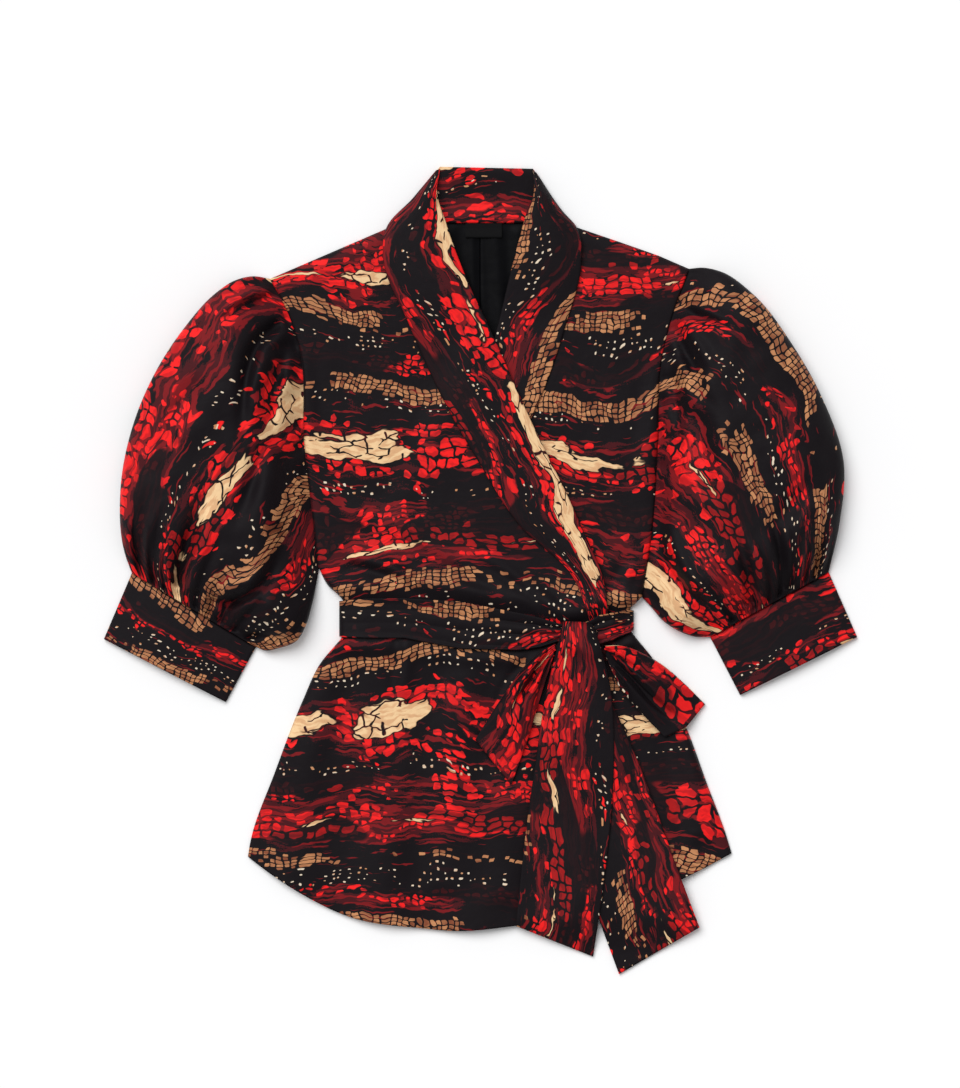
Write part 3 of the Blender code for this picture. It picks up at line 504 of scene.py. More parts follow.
@dataclass(frozen=True)
class Layers:
    """How high each layer of the flat top lies, and how the whole of it drapes. Millimetres."""

    cloth: float = 1.0
    band: float = 2.0
    tie: float = 1.5
    cuff: float = 1.2
    seam_gap: float = 0.6
    layer_gap: float = 0.4
    edge_rest: float = 0.35
    belt_gap: float = 0.6
    back_rise: float = 2.2
    lift_starts: Span = (-104, -86)
    lift_ends: Span = (6, 24)
    body: float = 4.5
    fall: Span = (90, 330)
    hem: float = 1.6
    hem_wave: float = 4.0
    hem_waves: float = 2.5
    wave_panel: float = 150.0
    wave_panel_gain: float = 90.0
    widening: Span = (50, 330)
    lap_bodice: float = 4.2
    lap_peplum: float = 1.5
    lap_thins: Span = (55, 110)
    lap_climb: Span = (-48, -10)
    belt_climb: Span = (76, 90)
    belt_fall: Span = (130, 148)
    waist: float = -48.0
    side_round: float = 10.0
    shoulder_round: float = 12.0
    armhole: float = 4.2
    armhole_round: float = 10.0
    waist_dip: float = 9.0
    dip_reach: Span = (34, 74)
    drape_depth: float = 1.1
    drape_level: float = 1.2
    drape_cell: float = 62.0
    narrow_drape: float = 0.45
    narrow_slant: Rows = ((0.8, 0.3), (-0.2, 0.6))
    blouse_uneven: float = 0.35
    blouse_cell: float = 31.0
    blouse: float = 6.0
    blouse_at: float = 13.0
    blouse_reach: float = 9.0
    knot_blouse: float = 4.5
    knot_blouse_at: Span = (92.0, -36.0)
    knot_blouse_reach: float = 20.0
    spring: float = 3.2
    spring_at: float = 10.0
    spring_reach: float = 8.0
    hidden_edge: Rows = (*UNDER_INNER, (-84.0, -350.0))

    def drape(self, x: Array, y: Array) -> Array:
        """Unevenness that every layer of the front shares.

        Two octaves of noise, lifted above 0, plus a bell along the belt's upper edge, where the bodice
        blouses over it, most of all above the knot, and a lower one where the peplum springs out below.
        """
        wide = noise(x, y, self.drape_cell, Seed.DRAPE_WIDE)
        slanted = (first * x + second * y for first, second in self.narrow_slant)
        narrow = noise(*slanted, self.drape_cell * self.narrow_drape, Seed.DRAPE_NARROW)
        rows = np.array(BELT_EDGES)
        above = y - np.interp(x, rows[:, 0], rows[:, 1])
        below = np.interp(x, rows[:, 0], rows[:, 2]) - y
        uneven = 1 + self.blouse_uneven * noise(x, 0 * x, self.blouse_cell, Seed.BLOUSE)
        blouse = self.blouse * uneven * bell(above - self.blouse_at, self.blouse_reach)
        away = np.hypot(x - self.knot_blouse_at[0], y - self.knot_blouse_at[1])
        blouse = blouse + self.knot_blouse * bell(away, self.knot_blouse_reach)
        spring = self.spring * uneven * bell(below - self.spring_at, self.spring_reach)
        return self.drape_depth * (self.drape_level + wide + self.narrow_drape * narrow) + blouse + spring

    def back_lift(self, y: Array) -> Array:
        """Underside of the back: on the floor, but lifted over the belt's back half."""
        return self.back_rise * smooth(y, *self.lift_starts) * smooth(-y, *self.lift_ends)

    def body_rise(self, x: Array, y: Array) -> Array:
        """Underside of the lower front: level on the bodice, lower and waved towards the hem."""
        fall = smooth(-y, *self.fall)
        width = self.wave_panel + self.wave_panel_gain * smooth(-y, *self.widening)
        wave = 0.5 + 0.5 * np.cos(2 * np.pi * self.hem_waves * x / width)
        level = self.body - (self.body - self.hem) * fall + self.hem_wave * fall * wave
        return level + self.drape(x, y)

    def over_rise(self, x: Array, y: Array) -> Array:
        """Underside of the upper front: raised where the lower front and its band lie beneath it."""
        line = np.array(sorted((row[1], row[0]) for row in self.hidden_edge))
        hidden = np.interp(y, line[:, 0], line[:, 1])
        lap = self.lap_bodice - (self.lap_bodice - self.lap_peplum) * smooth(-y, *self.lap_thins)
        return self.body_rise(x, y) + lap * smooth(x - hidden, *self.lap_climb)

    def belt_rise(self, x: Array, y: Array) -> Array:
        """Underside of the belt in front, clear of the panels and of the collar's foot."""
        level = np.full_like(x, self.waist)
        base = self.body_rise(x, level)
        band = (self.band + self.layer_gap) * smooth(x, *self.belt_climb)
        layers = self.over_rise(x, level) - base + band
        flat = base - self.drape(x, level) + self.drape(x, y)
        return flat + self.cloth + self.belt_gap + layers * (1 - smooth(x, *self.belt_fall))

    def dip(self, x: Array) -> Array:
        """How far the bodice reaches below the waist seam where the knot draws the belt together."""
        return self.waist_dip * smooth(x, *self.dip_reach)

    def resting(
        self, plan: Array, height: Array, edge: Array, radius: float, fade: Array | float = 1.0
    ) -> Array:
        """Height that comes down to the back near an edge in a quarter round, as cloth does over a seam.

        Args:
            plan: Grid of x, y.
            height: Height before.
            edge: Line that the cloth comes down to.
            radius: Distance over which it does.
            fade: Share of the effect.

        Returns:
            The height after.
        """
        rest = self.back_lift(plan[..., 1]) + self.cloth + self.edge_rest
        share = 1 - fade * (1 - rounded(distance_to(plan, edge), radius))
        return rest + (height - rest) * share


LAYERS = Layers()

ARMHOLE: dict[Side, Rows] = {
    Side.RIGHT: (
        (-210.5, 291.5), (-192.5, 257.5), (-181.5, 223.5), (-176.0, 125.0), (-167.0, 45.0), (-162.5, 4.5),
    ),
    Side.LEFT: (
        (208.5, 301.5), (189.5, 247.5), (180.5, 207.5), (177.5, 130.0), (171.0, 35.0), (161.5, -25.5),
    ),
}
BODICE_SIDE: dict[Side, Rows] = {
    Side.RIGHT: ((-162.5, 4.5), (-151.5, -16.0), (-142.5, -24.0), (-137.6, -29.5), (-137.6, -47.6)),
    Side.LEFT: ((161.5, -25.5), (154.0, -34.0), (149.9, -37.5), (149.6, -42.0), (149.6, -47.6)),
}
SHOULDER: dict[Side, Rows] = {
    Side.RIGHT: ((-210.5, 291.5), (-94.5, 341.5), (-84.0, 346.5)),
    Side.LEFT: ((208.5, 301.5), (178.5, 314.5), (144.5, 326.5), (86.0, 346.5)),
}
PEPLUM_SIDE: dict[Side, Rows] = {
    Side.RIGHT: (
        (-137.6, -48.4), (-137.6, -66.0), (-141.0, -70.0), (-160.5, -93.5), (-177.5, -129.5),
        (-205.5, -201.5), (-230.5, -273.5), (-232.5, -286.0),
    ),
    Side.LEFT: (
        (149.6, -48.4), (150.0, -60.0), (154.5, -66.0), (172.5, -88.5), (205.5, -156.5),
        (226.5, -213.5), (244.5, -261.5), (251.0, -282.5),
    ),
}


@dataclass(frozen=True)
class Finishes:
    """The three materials of the top."""

    printed: bpy.types.Material
    lining: bpy.types.Material
    label: bpy.types.Material


@dataclass
class Bodice:
    """The two wrapped fronts and the back above the waist."""

    finishes: Finishes
    lap_over: Rows = (
        (-84.0, 346.5), (-60.0, 335.0), (-42.0, 312.0), (-9.0, 261.0), (18.0, 195.0), (66.0, 107.0),
        (102.0, 18.0), (117.0, -18.5), (119.5, -56.6),
    )
    lap_under: Rows = (
        (86.0, 346.5), (62.0, 341.0), (49.0, 328.0), (32.0, 276.0), (24.0, 243.0), (11.0, 195.0),
        (-36.0, 107.0), (-76.0, 18.0), (-90.0, -18.5), (-95.0, -47.6),
    )
    rows: int = 130
    side_rows: int = 26
    columns: int = 110
    back_columns: int = 60
    underarm: Span = (-4, 14)
    folds: Sequence[Fold] = (
        Fold(((-136, 6), (-96, -4), (-62, -23)), 5.0, 2.4, 4.5, fade_in=0.1),
        Fold(((-150, 52), (-110, 34), (-40, 20)), 9.0, 0.8, 2.0),
        Fold(((-120, -2), (-70, -18), (-20, -26)), 7.0, 0.8, 2.2),
        Fold(((-168, 232), (-160, 160), (-150, 84)), 9.0, 1.0, 2.0, left=False),
        Fold(((10, 88), (52, 36), (88, -20)), 9.0, 0.8, 1.8),
        Fold(((164, 214), (154, 140), (146, 60)), 9.0, 0.8, 2.0),
        Fold(((150, 16), (134, -8), (128, -30)), 6.0, 1.5, 2.4),
        Fold(((60, 300), (90, 250), (120, 180)), 14.0, 0.4, 1.4),
        Fold(((-30, 16), (20, -6), (72, -44)), 5.0, 2.2, 3.4, fade_in=0.6, fade_out=0.1),
        Fold(((-90, 36), (-20, -4), (56, -40)), 6.0, 1.4, 2.6, fade_in=0.6, fade_out=0.1),
    )

    def side_line(self, side: Side) -> Array:
        """Points down the armhole and then down the side seam below it."""
        upper = smooth_line(ARMHOLE[side], even(self.rows))
        return np.concatenate([upper, smooth_line(BODICE_SIDE[side], even(self.side_rows))[1:]])

    def front(self, name: str, side: Side, lap: Rows, rise: Rise) -> bpy.types.Object:
        """One front, from the armhole and side seam to its lap: rise plus folds, brought down at the seams.

        Args:
            name: Name of its node.
            side: Which armhole it meets.
            lap: The edge that wraps across.
            rise: Underside of its layer.

        Returns:
            The piece.
        """
        outer = self.side_line(side)
        down, across = lengths(outer) / lengths(outer)[-1], even(self.columns)
        top = straight_line(SHOULDER[side], across)
        foot = BODICE_SIDE[side][-1]
        bottom = straight_line((foot, lap[-1]), across)
        if lap[-1][1] < foot[1]:
            bottom[:, 1] = foot[1] - LAYERS.dip(bottom[:, 0])
        plan = patch(top, bottom, outer, smooth_line(lap, down), down, across)
        height = rise(plan[..., 0], plan[..., 1]) + folded(plan, self.folds)
        below_arm = smooth(outer[self.rows][1] - plan[..., 1], *self.underarm)
        sunk = (1 - below_arm) * (1 - rounded(distance_to(plan, outer[: self.rows]), LAYERS.armhole_round))
        height -= (height - LAYERS.armhole) * sunk
        height = LAYERS.resting(plan, height, outer[self.rows :], LAYERS.side_round, below_arm)
        height = LAYERS.resting(plan, height, top, LAYERS.shoulder_round)
        return Cloth(
            name, level_grid(plan, height + LAYERS.cloth), plan_map(plan), LAYERS.cloth,
            self.finishes.printed, rests_on=["back_bodice"],
        ).build()

    def back(self) -> bpy.types.Object:
        """The back above the waist, flat on the floor but for the lift over the belt."""
        right, left = self.side_line(Side.RIGHT), self.side_line(Side.LEFT)
        across = even(self.back_columns)
        shoulders = SHOULDER[Side.RIGHT] + SHOULDER[Side.LEFT][::-1]
        down = lengths(right) / lengths(right)[-1]
        bottom = straight_line((BODICE_SIDE[Side.RIGHT][-1], BODICE_SIDE[Side.LEFT][-1]), across)
        plan = patch(straight_line(shoulders, across), bottom, right, left, down, across)
        grid = level_grid(plan, LAYERS.back_lift(plan[..., 1]))
        return Cloth(
            "back_bodice", grid, plan_map(plan), LAYERS.cloth, self.finishes.printed, down=True
        ).build()

    def build(self) -> list[bpy.types.Object]:
        """The back and both fronts."""
        return [
            self.back(),
            self.front("front_under", Side.LEFT, self.lap_under, LAYERS.body_rise),
            self.front("front_over", Side.RIGHT, self.lap_over, LAYERS.over_rise),
        ]


@dataclass
class Peplum:
    """The flared skirt part below the waist: two wrapped fronts and the back."""

    finishes: Finishes
    front_edge_over: Rows = ((125.5, -48.4), (94.5, -347.0))
    front_edge_under: Rows = ((-114.0, -48.4), (-84.0, -350.0))
    hem_over: Rows = (
        (-232.5, -286.0), (-217.5, -297.5), (-181.5, -321.5), (-132.5, -345.5), (-57.5, -357.5),
        (-30.0, -360.0), (35.0, -355.0), (94.5, -347.0),
    )
    hem_under: Rows = (
        (-84.0, -350.0), (0.0, -353.0), (60.0, -350.0), (119.5, -341.0), (160.0, -326.0),
        (223.5, -297.5), (251.0, -282.5),
    )
    hem_back: Rows = (
        (-232.5, -286.0), (-217.5, -294.5), (-181.5, -318.5), (-132.5, -342.5), (-57.5, -354.0),
        (0.0, -354.0), (60.0, -347.0), (119.5, -338.0), (160.0, -323.0), (223.5, -294.5), (251.0, -282.5),
    )
    rows: int = 120
    columns: int = 140
    crowding: float = 0.3
    tuck: float = 1.5
    tuck_height: Span = (-72, -58)
    tuck_starts: Span = (20, 50)
    folds: Sequence[Fold] = (
        Fold(((-84, -66), (-86, -96), (-92, -150)), 6.0, 1.8, 3.0, fade_in=0.05, fade_out=0.7),
        Fold(((-112, -70), (-136, -140), (-160, -250)), 13.0, 1.2, 3.2, left=False, fade_in=0.1),
        Fold(((-40, -80), (-54, -170), (-70, -330)), 15.0, 1.2, 3.4, fade_in=0.1, fade_out=0.1),
        Fold(((10, -84), (8, -180), (-6, -340)), 16.0, 1.0, 3.0, fade_in=0.2, fade_out=0.1),
        Fold(((168, -96), (184, -160), (200, -280)), 11.0, 1.2, 3.2, fade_out=0.1),
        Fold(((54, -80), (26, -112), (4, -170)), 5.0, 1.6, 3.0, fade_in=0.1, fade_out=0.7),
    )

    def front(self, name: str, side: Side, edge: Rows, hem: Rows, rise: Rise) -> bpy.types.Object:
        """One peplum front, from the side seam to its front edge.

        Args:
            name: Name of its node.
            side: Which side seam it meets.
            edge: Its free front edge.
            hem: Its hem, from the side seam to the front edge.
            rise: Underside of its layer.

        Returns:
            The piece.
        """
        down, across = crowded(self.rows, self.crowding), even(self.columns)
        outer = smooth_line(PEPLUM_SIDE[side], down)
        top = straight_line((PEPLUM_SIDE[side][0], edge[0]), across)
        plan = patch(top, smooth_line(hem, across), outer, straight_line(edge, down), down, across)
        height = rise(plan[..., 0], plan[..., 1]) + folded(plan, self.folds)
        tucked = smooth(plan[..., 1], *self.tuck_height) * smooth(plan[..., 0], *self.tuck_starts)
        height -= self.tuck * tucked
        height = LAYERS.resting(plan, height, outer, LAYERS.side_round)
        return Cloth(
            name, level_grid(plan, height + LAYERS.cloth), plan_map(plan), LAYERS.cloth,
            self.finishes.printed, rests_on=["back_peplum"],
        ).build()

    def back(self) -> bpy.types.Object:
        """The back below the waist."""
        down, across = even(self.rows // 2), even(self.columns // 2)
        sides = [PEPLUM_SIDE[side] for side in Side]
        right, left = (smooth_line(side, down) for side in sides)
        top = straight_line([side[0] for side in sides], across)
        plan = patch(top, smooth_line(self.hem_back, across), right, left, down, across)
        grid = level_grid(plan, LAYERS.back_lift(plan[..., 1]))
        return Cloth(
            "back_peplum", grid, plan_map(plan), LAYERS.cloth, self.finishes.printed, down=True
        ).build()

    def build(self) -> list[bpy.types.Object]:
        """The back and both fronts."""
        under, over = self.hem_under[::-1], self.hem_over
        return [
            self.back(),
            self.front("peplum_under", Side.LEFT, self.front_edge_under, under, LAYERS.body_rise),
            self.front("peplum_over", Side.RIGHT, self.front_edge_over, over, LAYERS.over_rise),
        ]


@dataclass
class Collar:
    """Shawl collar: two doubled bands on the lap edges, the stand between them, and what shows inside."""

    finishes: Finishes
    over_roll_from: float = 200.0
    over_crown_from: float = -40.0
    under_roll_from: float = 245.0
    under_crown_from: float = 245.0
    over_inner: Rows = (
        (-40.0, 401.0), (-43.5, 380.5), (-34.5, 347.5), (-14.5, 292.9), (13.9, 231.5), (49.5, 151.5),
        (98.2, 49.5), (124.9, -18.5), (127.3, -56.0),
    )
    over_outer: Rows = (
        (-44.5, 400.0), (-67.5, 372.5), (-94.5, 341.5), (-97.5, 315.5), (-72.5, 248.5), (-44.8, 185.5),
        (-1.5, 107.5), (37.5, 46.9), (93.4, -8.5), (111.0, -56.0),
    )
    under_inner: Rows = UNDER_INNER
    under_outer: Rows = (
        (56.0, 397.5), (81.9, 359.5), (96.5, 342.5), (100.5, 306.5), (86.1, 248.5), (52.5, 155.5),
        (0.0, 66.0), (-45.0, 5.0), (-84.0, -47.0),
    )
    stand_corners: Rows = ((-40.5, 403.5), (52.5, 401.5), (-87.0, 347.2), (89.0, 347.2))
    stand_low: float = 0.3
    stand_steps: Rows = ((368, 351, 3.6), (349.2, 347.2, -0.9), (372, 400, 2.2), (398, 404, -0.6))
    stand_uneven: float = 0.3
    stand_cell: float = 22.0
    stand_grid: tuple[int, int] = (40, 90)
    lining_top: float = 348.6
    lining_foot: float = 200.0
    lining_side: float = 66.0
    lining_seam: float = -0.5
    lining_free: Span = (347, 338)
    lining_grid: tuple[int, int] = (70, 50)
    seam_half: float = 0.02
    sway: float = 1.6
    sway_width: float = 23.0
    sway_slant: float = 0.06
    sway_starts: Span = (0, 8)
    groove: float = 0.35
    groove_width: float = 1.6
    label_corners: Rows = ((-15.0, 347.0), (21.5, 347.0), (-15.0, 332.5), (21.5, 332.5))
    label_low: float = 0.9
    label_steps: Rows = ((343, 334, 1.2), (334, 332.5, -0.5))
    label_grid: tuple[int, int] = (24, 60)
    roll: float = 5.0
    roll_run: float = 100.0
    crown: float = 2.6
    crown_run: float = 60.0
    crown_at_edge: float = 0.3
    neck: Span = (326, 348)
    neck_round: float = 14.0
    neck_top: Span = (375, 402)
    neck_top_fall: float = 0.75
    edge_round: float = 3.0
    edge_turn: float = 0.8
    rows: int = 210
    columns: int = 36

    def band(
        self, name: str, outer: Rows, inner: Rows, rise: Rise, roll_from: float, crown_from: float
    ) -> bpy.types.Object:
        """Doubled band on a front's lap edge, rolled up round the neck and down at its outline.

        Args:
            name: Name of its node.
            outer: Edge towards the shoulder.
            inner: Edge towards the neck opening.
            rise: Underside of the front that it lies on.
            roll_from: Height along Y at which the band starts to roll up.
            crown_from: Height along Y from which its middle stands proud.

        Returns:
            The piece.
        """
        down, across = even(self.rows), crowded(self.columns)
        start = straight_line((outer[0], inner[0]), across)
        end = straight_line((outer[-1], inner[-1]), across)
        outer_line, inner_line = smooth_line(outer, down), smooth_line(inner, down)
        plan = patch(start, end, outer_line, inner_line, down, across)
        x, y = plan[..., 0], plan[..., 1]
        rolled = smooth(y, roll_from, roll_from + self.roll_run)
        height = rise(x, y) + LAYERS.cloth + LAYERS.layer_gap + self.roll * rolled
        arch = self.crown_at_edge + np.sin(np.pi * across)[None]
        height += self.crown * arch * smooth(y, crown_from, crown_from + self.crown_run)
        floor = LAYERS.band + LAYERS.seam_gap
        turned_down = 1 - rounded(distance_to(plan, outer_line), self.neck_round)
        height = floor + (height - floor) * (1 - smooth(y, *self.neck) * turned_down)
        height = floor + (height - floor) * (1 - self.neck_top_fall * smooth(y, *self.neck_top))
        away = distance_to(plan, outer_line, inner_line)
        top = height + LAYERS.band - self.edge_turn * (1 - rounded(away, self.edge_round))
        return Cloth(
            name, level_grid(plan, top), band_map(outer_line, inner_line, across), LAYERS.band,
            self.finishes.printed, held=Held.FOLDED, rests_on=[name.replace("collar", "front")],
        ).build()

    def panel(
        self, name: str, corners: Rows, low: float, wall: float, relief: Rise, counts: tuple[int, int]
    ) -> Cloth:
        """A straight-edged piece at one level.

        Args:
            name: Name of its node.
            corners: Its corners: top, top, foot, foot.
            low: Level of its underside.
            wall: Its thickness.
            relief: What is added to its height.
            counts: Rows and columns of faces.

        Returns:
            The piece in the lining's material, not yet built.
        """
        plan = quad(corners, even(counts[0]), even(counts[1]))
        height = low + wall + relief(plan[..., 0], plan[..., 1])
        return Cloth(name, level_grid(plan, height), plan_map(plan), wall, self.finishes.lining)

    def stand(self) -> bpy.types.Object:
        """The back of the collar, whose inside shows above the neck seam."""

        def relief(x: Array, y: Array) -> Array:
            """A soft roll at the top edge, and a foot that rises over the neck seam and turns under."""
            uneven = self.stand_uneven * noise(x, y, self.stand_cell, Seed.STAND)
            return steps(y, self.stand_steps) + uneven

        piece = self.panel(
            "collar_stand", self.stand_corners, self.stand_low, LAYERS.band, relief, self.stand_grid
        )
        piece.material = self.finishes.printed
        piece.held = Held.FOLDED
        piece.rests_on = ["back_bodice"]
        return piece.build()

    def inside(self) -> list[bpy.types.Object]:
        """The two halves of the black back lining, which meet at the centre seam, and the label tab."""
        layer = LAYERS.cloth + LAYERS.layer_gap

        def hang(x: Array, y: Array) -> Array:
            """Shallow lengthwise folds, and a groove where the centre seam draws the lining down."""
            off = x - self.lining_seam
            turns = (x + self.sway_slant * (y - self.lining_foot)) / self.sway_width
            sway = self.sway * (0.5 + 0.5 * np.cos(2 * np.pi * turns))
            sway = sway * smooth(np.abs(off), *self.sway_starts)
            groove = self.groove * bell(off, self.groove_width)
            return (sway - groove) * smooth(y, *self.lining_free)

        def press(x: Array, y: Array) -> Array:
            """The tab's long edges turned under, and its foot standing a little proud."""
            return self.label_low + steps(y, self.label_steps)

        made = []
        for side in Side:
            ends = side.value * self.lining_side, self.lining_seam + side.value * self.seam_half
            corners = [(x, y) for y in (self.lining_top, self.lining_foot) for x in ends]
            name = f"back_lining_{side.word}"
            piece = self.panel(name, corners, layer, LAYERS.cloth, hang, self.lining_grid)
            piece.slot, piece.rests_on = LINING_SLOT, ["back_bodice"]
            made.append(piece.build())
        tab = self.panel("label_tab", self.label_corners, 2 * layer, LAYERS.cloth, press, self.label_grid)
        tab.slot, tab.material, tab.rests_on = LABEL_SLOT, self.finishes.label, ["back_lining_left"]
        made.append(tab.build())
        return made

    def build(self) -> list[bpy.types.Object]:
        """Stand, inside and both bands."""
        return [
            self.stand(),
            *self.inside(),
            self.band(
                "collar_under", self.under_outer, self.under_inner, LAYERS.body_rise,
                self.under_roll_from, self.under_crown_from,
            ),
            self.band(
                "collar_over", self.over_outer, self.over_inner, LAYERS.over_rise,
                self.over_roll_from, self.over_crown_from,
            ),
        ]


@dataclass
class Sleeve:
    """A puffed half sleeve and its turned cuff, one side of the top."""

    side: Side
    outer: Rows
    inner: Rows
    cuff_hem: Rows
    folds: Sequence[Fold]
    finishes: Finishes
    crown: float = 46.0
    armhole_height: float = 3.7
    armhole_runs: int = 60
    tuck: float = 1.2
    cuff_gap: float = 0.1
    least_height: float = 3.2
    least_from: Span = (0, 6)
    cuff_end_height: float = 12.0
    side_round: float = 80.0
    side_round_below: float = 26.0
    crown_power: float = 0.9
    head_rise: float = 70.0
    cuff_fall: float = 52.0
    side_share: float = 0.22
    slack_from: Span = (0, 20)
    slack_height: float = 26.0
    wide: float = 2.4
    wide_cell: float = 36.0
    fine: float = 0.7
    fine_cell: float = 14.0
    cut_width: float = 235.0
    head_gathers: int = 12
    head_gather_depth: float = 8.0
    head_gather_reach: float = 74.0
    head_gather_ends: Span = (0.8, 0.45)
    cuff_gathers: int = 10
    cuff_gather_depth: float = 11.0
    cuff_gather_reach: float = 78.0
    gather_from: Span = (0, 10)
    gather_starts: Span = (0, 5)
    gather_fades: Span = (0.1, 1)
    reach_share: float = 0.72
    reach_uneven: float = 0.5
    reach_cell: float = 0.9
    rows: int = 170
    columns: int = 110
    columns_below: int = 46
    crowding_below: float = 0.8
    cuff_side: float = 2.3
    cuff_swell: float = 4.8
    cuff_round: float = 3.0
    cuff_uneven: float = 0.35
    cuff_cell: float = 30.0
    cuff_roll: float = 0.9
    cuff_roll_share: float = 0.05
    cuff_roll_from: Span = (0, 6)
    cuff_rows: int = 36
    cuff_columns: int = 84
    cuff_columns_below: int = 40

    def edges(self) -> tuple[Array, Array, Array, Array]:
        """Start at the armhole, end at the cuff, and the outer and inner outline between them."""
        start = smooth_line(ARMHOLE[self.side], even(self.armhole_runs)) - (self.side.value * self.tuck, 0)
        ends = np.array([self.outer[-1], self.inner[-1]], float)
        run = ends[1] - ends[0]
        up = np.array([-run[1], run[0]]) / np.linalg.norm(run)
        ends += up * np.sign(up[1]) * self.cuff_gap
        down = even(self.rows)
        outer = smooth_line((tuple(start[0]), *self.outer[1:-1], tuple(ends[0])), down)
        inner = smooth_line((tuple(start[-1]), *self.inner[1:-1], tuple(ends[1])), down)
        return start, ends, outer, inner

    def full_height(self, plan: Array, start: Array, ends: Array) -> Array:
        """Height of the puff: the lower of a quarter sine up from the armhole and another from the cuff."""
        from_head, from_cuff = (
            np.sin(np.pi / 2 * np.clip(distance_to(plan, line) / reach, 0, 1))
            for line, reach in ((start, self.head_rise), (ends, self.cuff_fall))
        )
        low = self.armhole_height + (self.cuff_end_height - self.armhole_height) * (from_head > from_cuff)
        return low + (self.crown - low) * np.minimum(from_head, from_cuff)

    def gathered(self, across: Array, distance: Array, count: int, longest: float, seed: int) -> Array:
        """Depth share of the pleats taken into a seam, each of which fades out at its own length.

        Args:
            across: Shares of the seam's length.
            distance: Distance of every grid point from the seam.
            count: How many pleats it takes in.
            longest: Length of a long one.
            seed: Which uneven spacing, before the side is added.

        Returns:
            Shares from 0 to 1 at every grid point.
        """
        uneven = noise(across * count, np.zeros_like(across), self.reach_cell, Seed.REACH + count)
        own = longest * (self.reach_share + self.reach_uneven * uneven)[None]
        shown = (1 - smooth(distance / own, *self.gather_fades)) * smooth(distance, *self.gather_starts)
        return gathers(across, count, seed + self.side.value)[None] * shown

    def puff(self) -> bpy.types.Object:
        """The sleeve: rounded sides, listed folds, and pleats taken into the armhole and the cuff.

        Returns:
            The piece, a tube open at the armhole and at the cuff.
        """
        start, ends, outer, inner = self.edges()
        down = even(self.rows)

        def plan_of(across: Array) -> Array:
            """Plan between the outline, the armhole and the cuff."""
            seams = (straight_line(seam, across) for seam in (start, ends))
            return patch(*seams, outer, inner, down, across)

        def side_height(full: Array) -> Array:
            """Height at which the upper and the lower half meet."""
            return self.armhole_height / 2 + self.side_share * (full - self.armhole_height)

        across = crowded(self.columns)
        plan = plan_of(across)
        x, y = plan[..., 0], plan[..., 1]
        away = distance_to(plan, outer, inner)
        full = self.full_height(plan, start, ends)
        side = side_height(full)
        upper = side + (full - side) * rounded(away, self.side_round) ** self.crown_power
        slack = smooth(away, *self.slack_from) * smooth(full, self.armhole_height, self.slack_height)
        wide = self.wide * noise(x, y, self.wide_cell, Seed.PUFF_WIDE)
        fine = self.fine * noise(x, y, self.fine_cell, Seed.PUFF_FINE)
        upper += (folded(plan, self.folds) + wide + fine) * slack
        at_cuff = self.gathered(
            across, distance_to(plan, ends), self.cuff_gathers, self.cuff_gather_reach, Seed.CUFF_GATHERS
        )
        at_head = self.gathered(
            across, distance_to(plan, start), self.head_gathers, self.head_gather_reach, Seed.HEAD_GATHERS
        )
        at_head = at_head * smooth(across, *self.head_gather_ends)[None]
        drawn_in = self.cuff_gather_depth * at_cuff + self.head_gather_depth * at_head
        upper -= drawn_in * smooth(away, *self.gather_from)
        upper = np.maximum(upper, self.least_height * smooth(away, *self.least_from))
        across_below = crowded(self.columns_below, self.crowding_below)
        plan_below = plan_of(across_below)
        turned_under = 1 - rounded(distance_to(plan_below, outer, inner), self.side_round_below)
        lower = side_height(self.full_height(plan_below, start, ends)) * turned_under
        grid = ring_grid(plan, upper, plan_below, lower)
        flat = ring_map(from_last_row(grid), across, across_below, self.cut_width)
        return Cloth(
            f"sleeve_{self.side.word}", grid, flat, LAYERS.cloth,
            self.finishes.printed, held=Held.GATHERED, rests_on=["floor"], ring=True,
        ).build()

    def cuff(self) -> bpy.types.Object:
        """The cuff: a flat tube with a swell in the middle and tight folds at its two sides.

        Returns:
            The piece, a tube open at the seam and at the hem.
        """
        corners = (self.outer[-1], self.inner[-1], *self.cuff_hem)
        width = np.linalg.norm(np.subtract(*self.cuff_hem))
        down, across = even(self.cuff_rows), crowded(self.cuff_columns, self.crowding_below)
        across_below = crowded(self.cuff_columns_below, self.crowding_below)
        plan = quad(corners, down, across)
        away = np.minimum(across, 1 - across) * width
        arch = np.sin(np.pi * across)
        upper = self.cuff_side * (1 + rounded(away, self.cuff_round)) + self.cuff_swell * arch
        ripple = self.cuff_uneven * noise(plan[..., 0], plan[..., 1], self.cuff_cell, Seed.CUFF) * arch[None]
        seam_roll = self.cuff_roll * bell(down, self.cuff_roll_share)[:, None]
        seam_roll = seam_roll * smooth(away, *self.cuff_roll_from)[None]
        away_below = np.minimum(across_below, 1 - across_below) * width
        lower = self.cuff_side * (1 - rounded(away_below, self.cuff_round))
        one = np.ones((len(down), 1))
        below = quad(corners, down, across_below)
        grid = ring_grid(plan, one * upper + ripple - seam_roll, below, one * lower)
        depth = np.linalg.norm(np.subtract(corners[0], corners[2]))
        flat = ring_map(down[:, None] * depth, across, across_below, width)[..., ::-1]
        return Cloth(
            f"cuff_{self.side.word}", grid, flat, LAYERS.cuff, self.finishes.printed, held=Held.FOLDED,
            rests_on=["floor"], ring=True,
        ).build()

    def build(self) -> list[bpy.types.Object]:
        """The sleeve and its cuff."""
        return [self.puff(), self.cuff()]


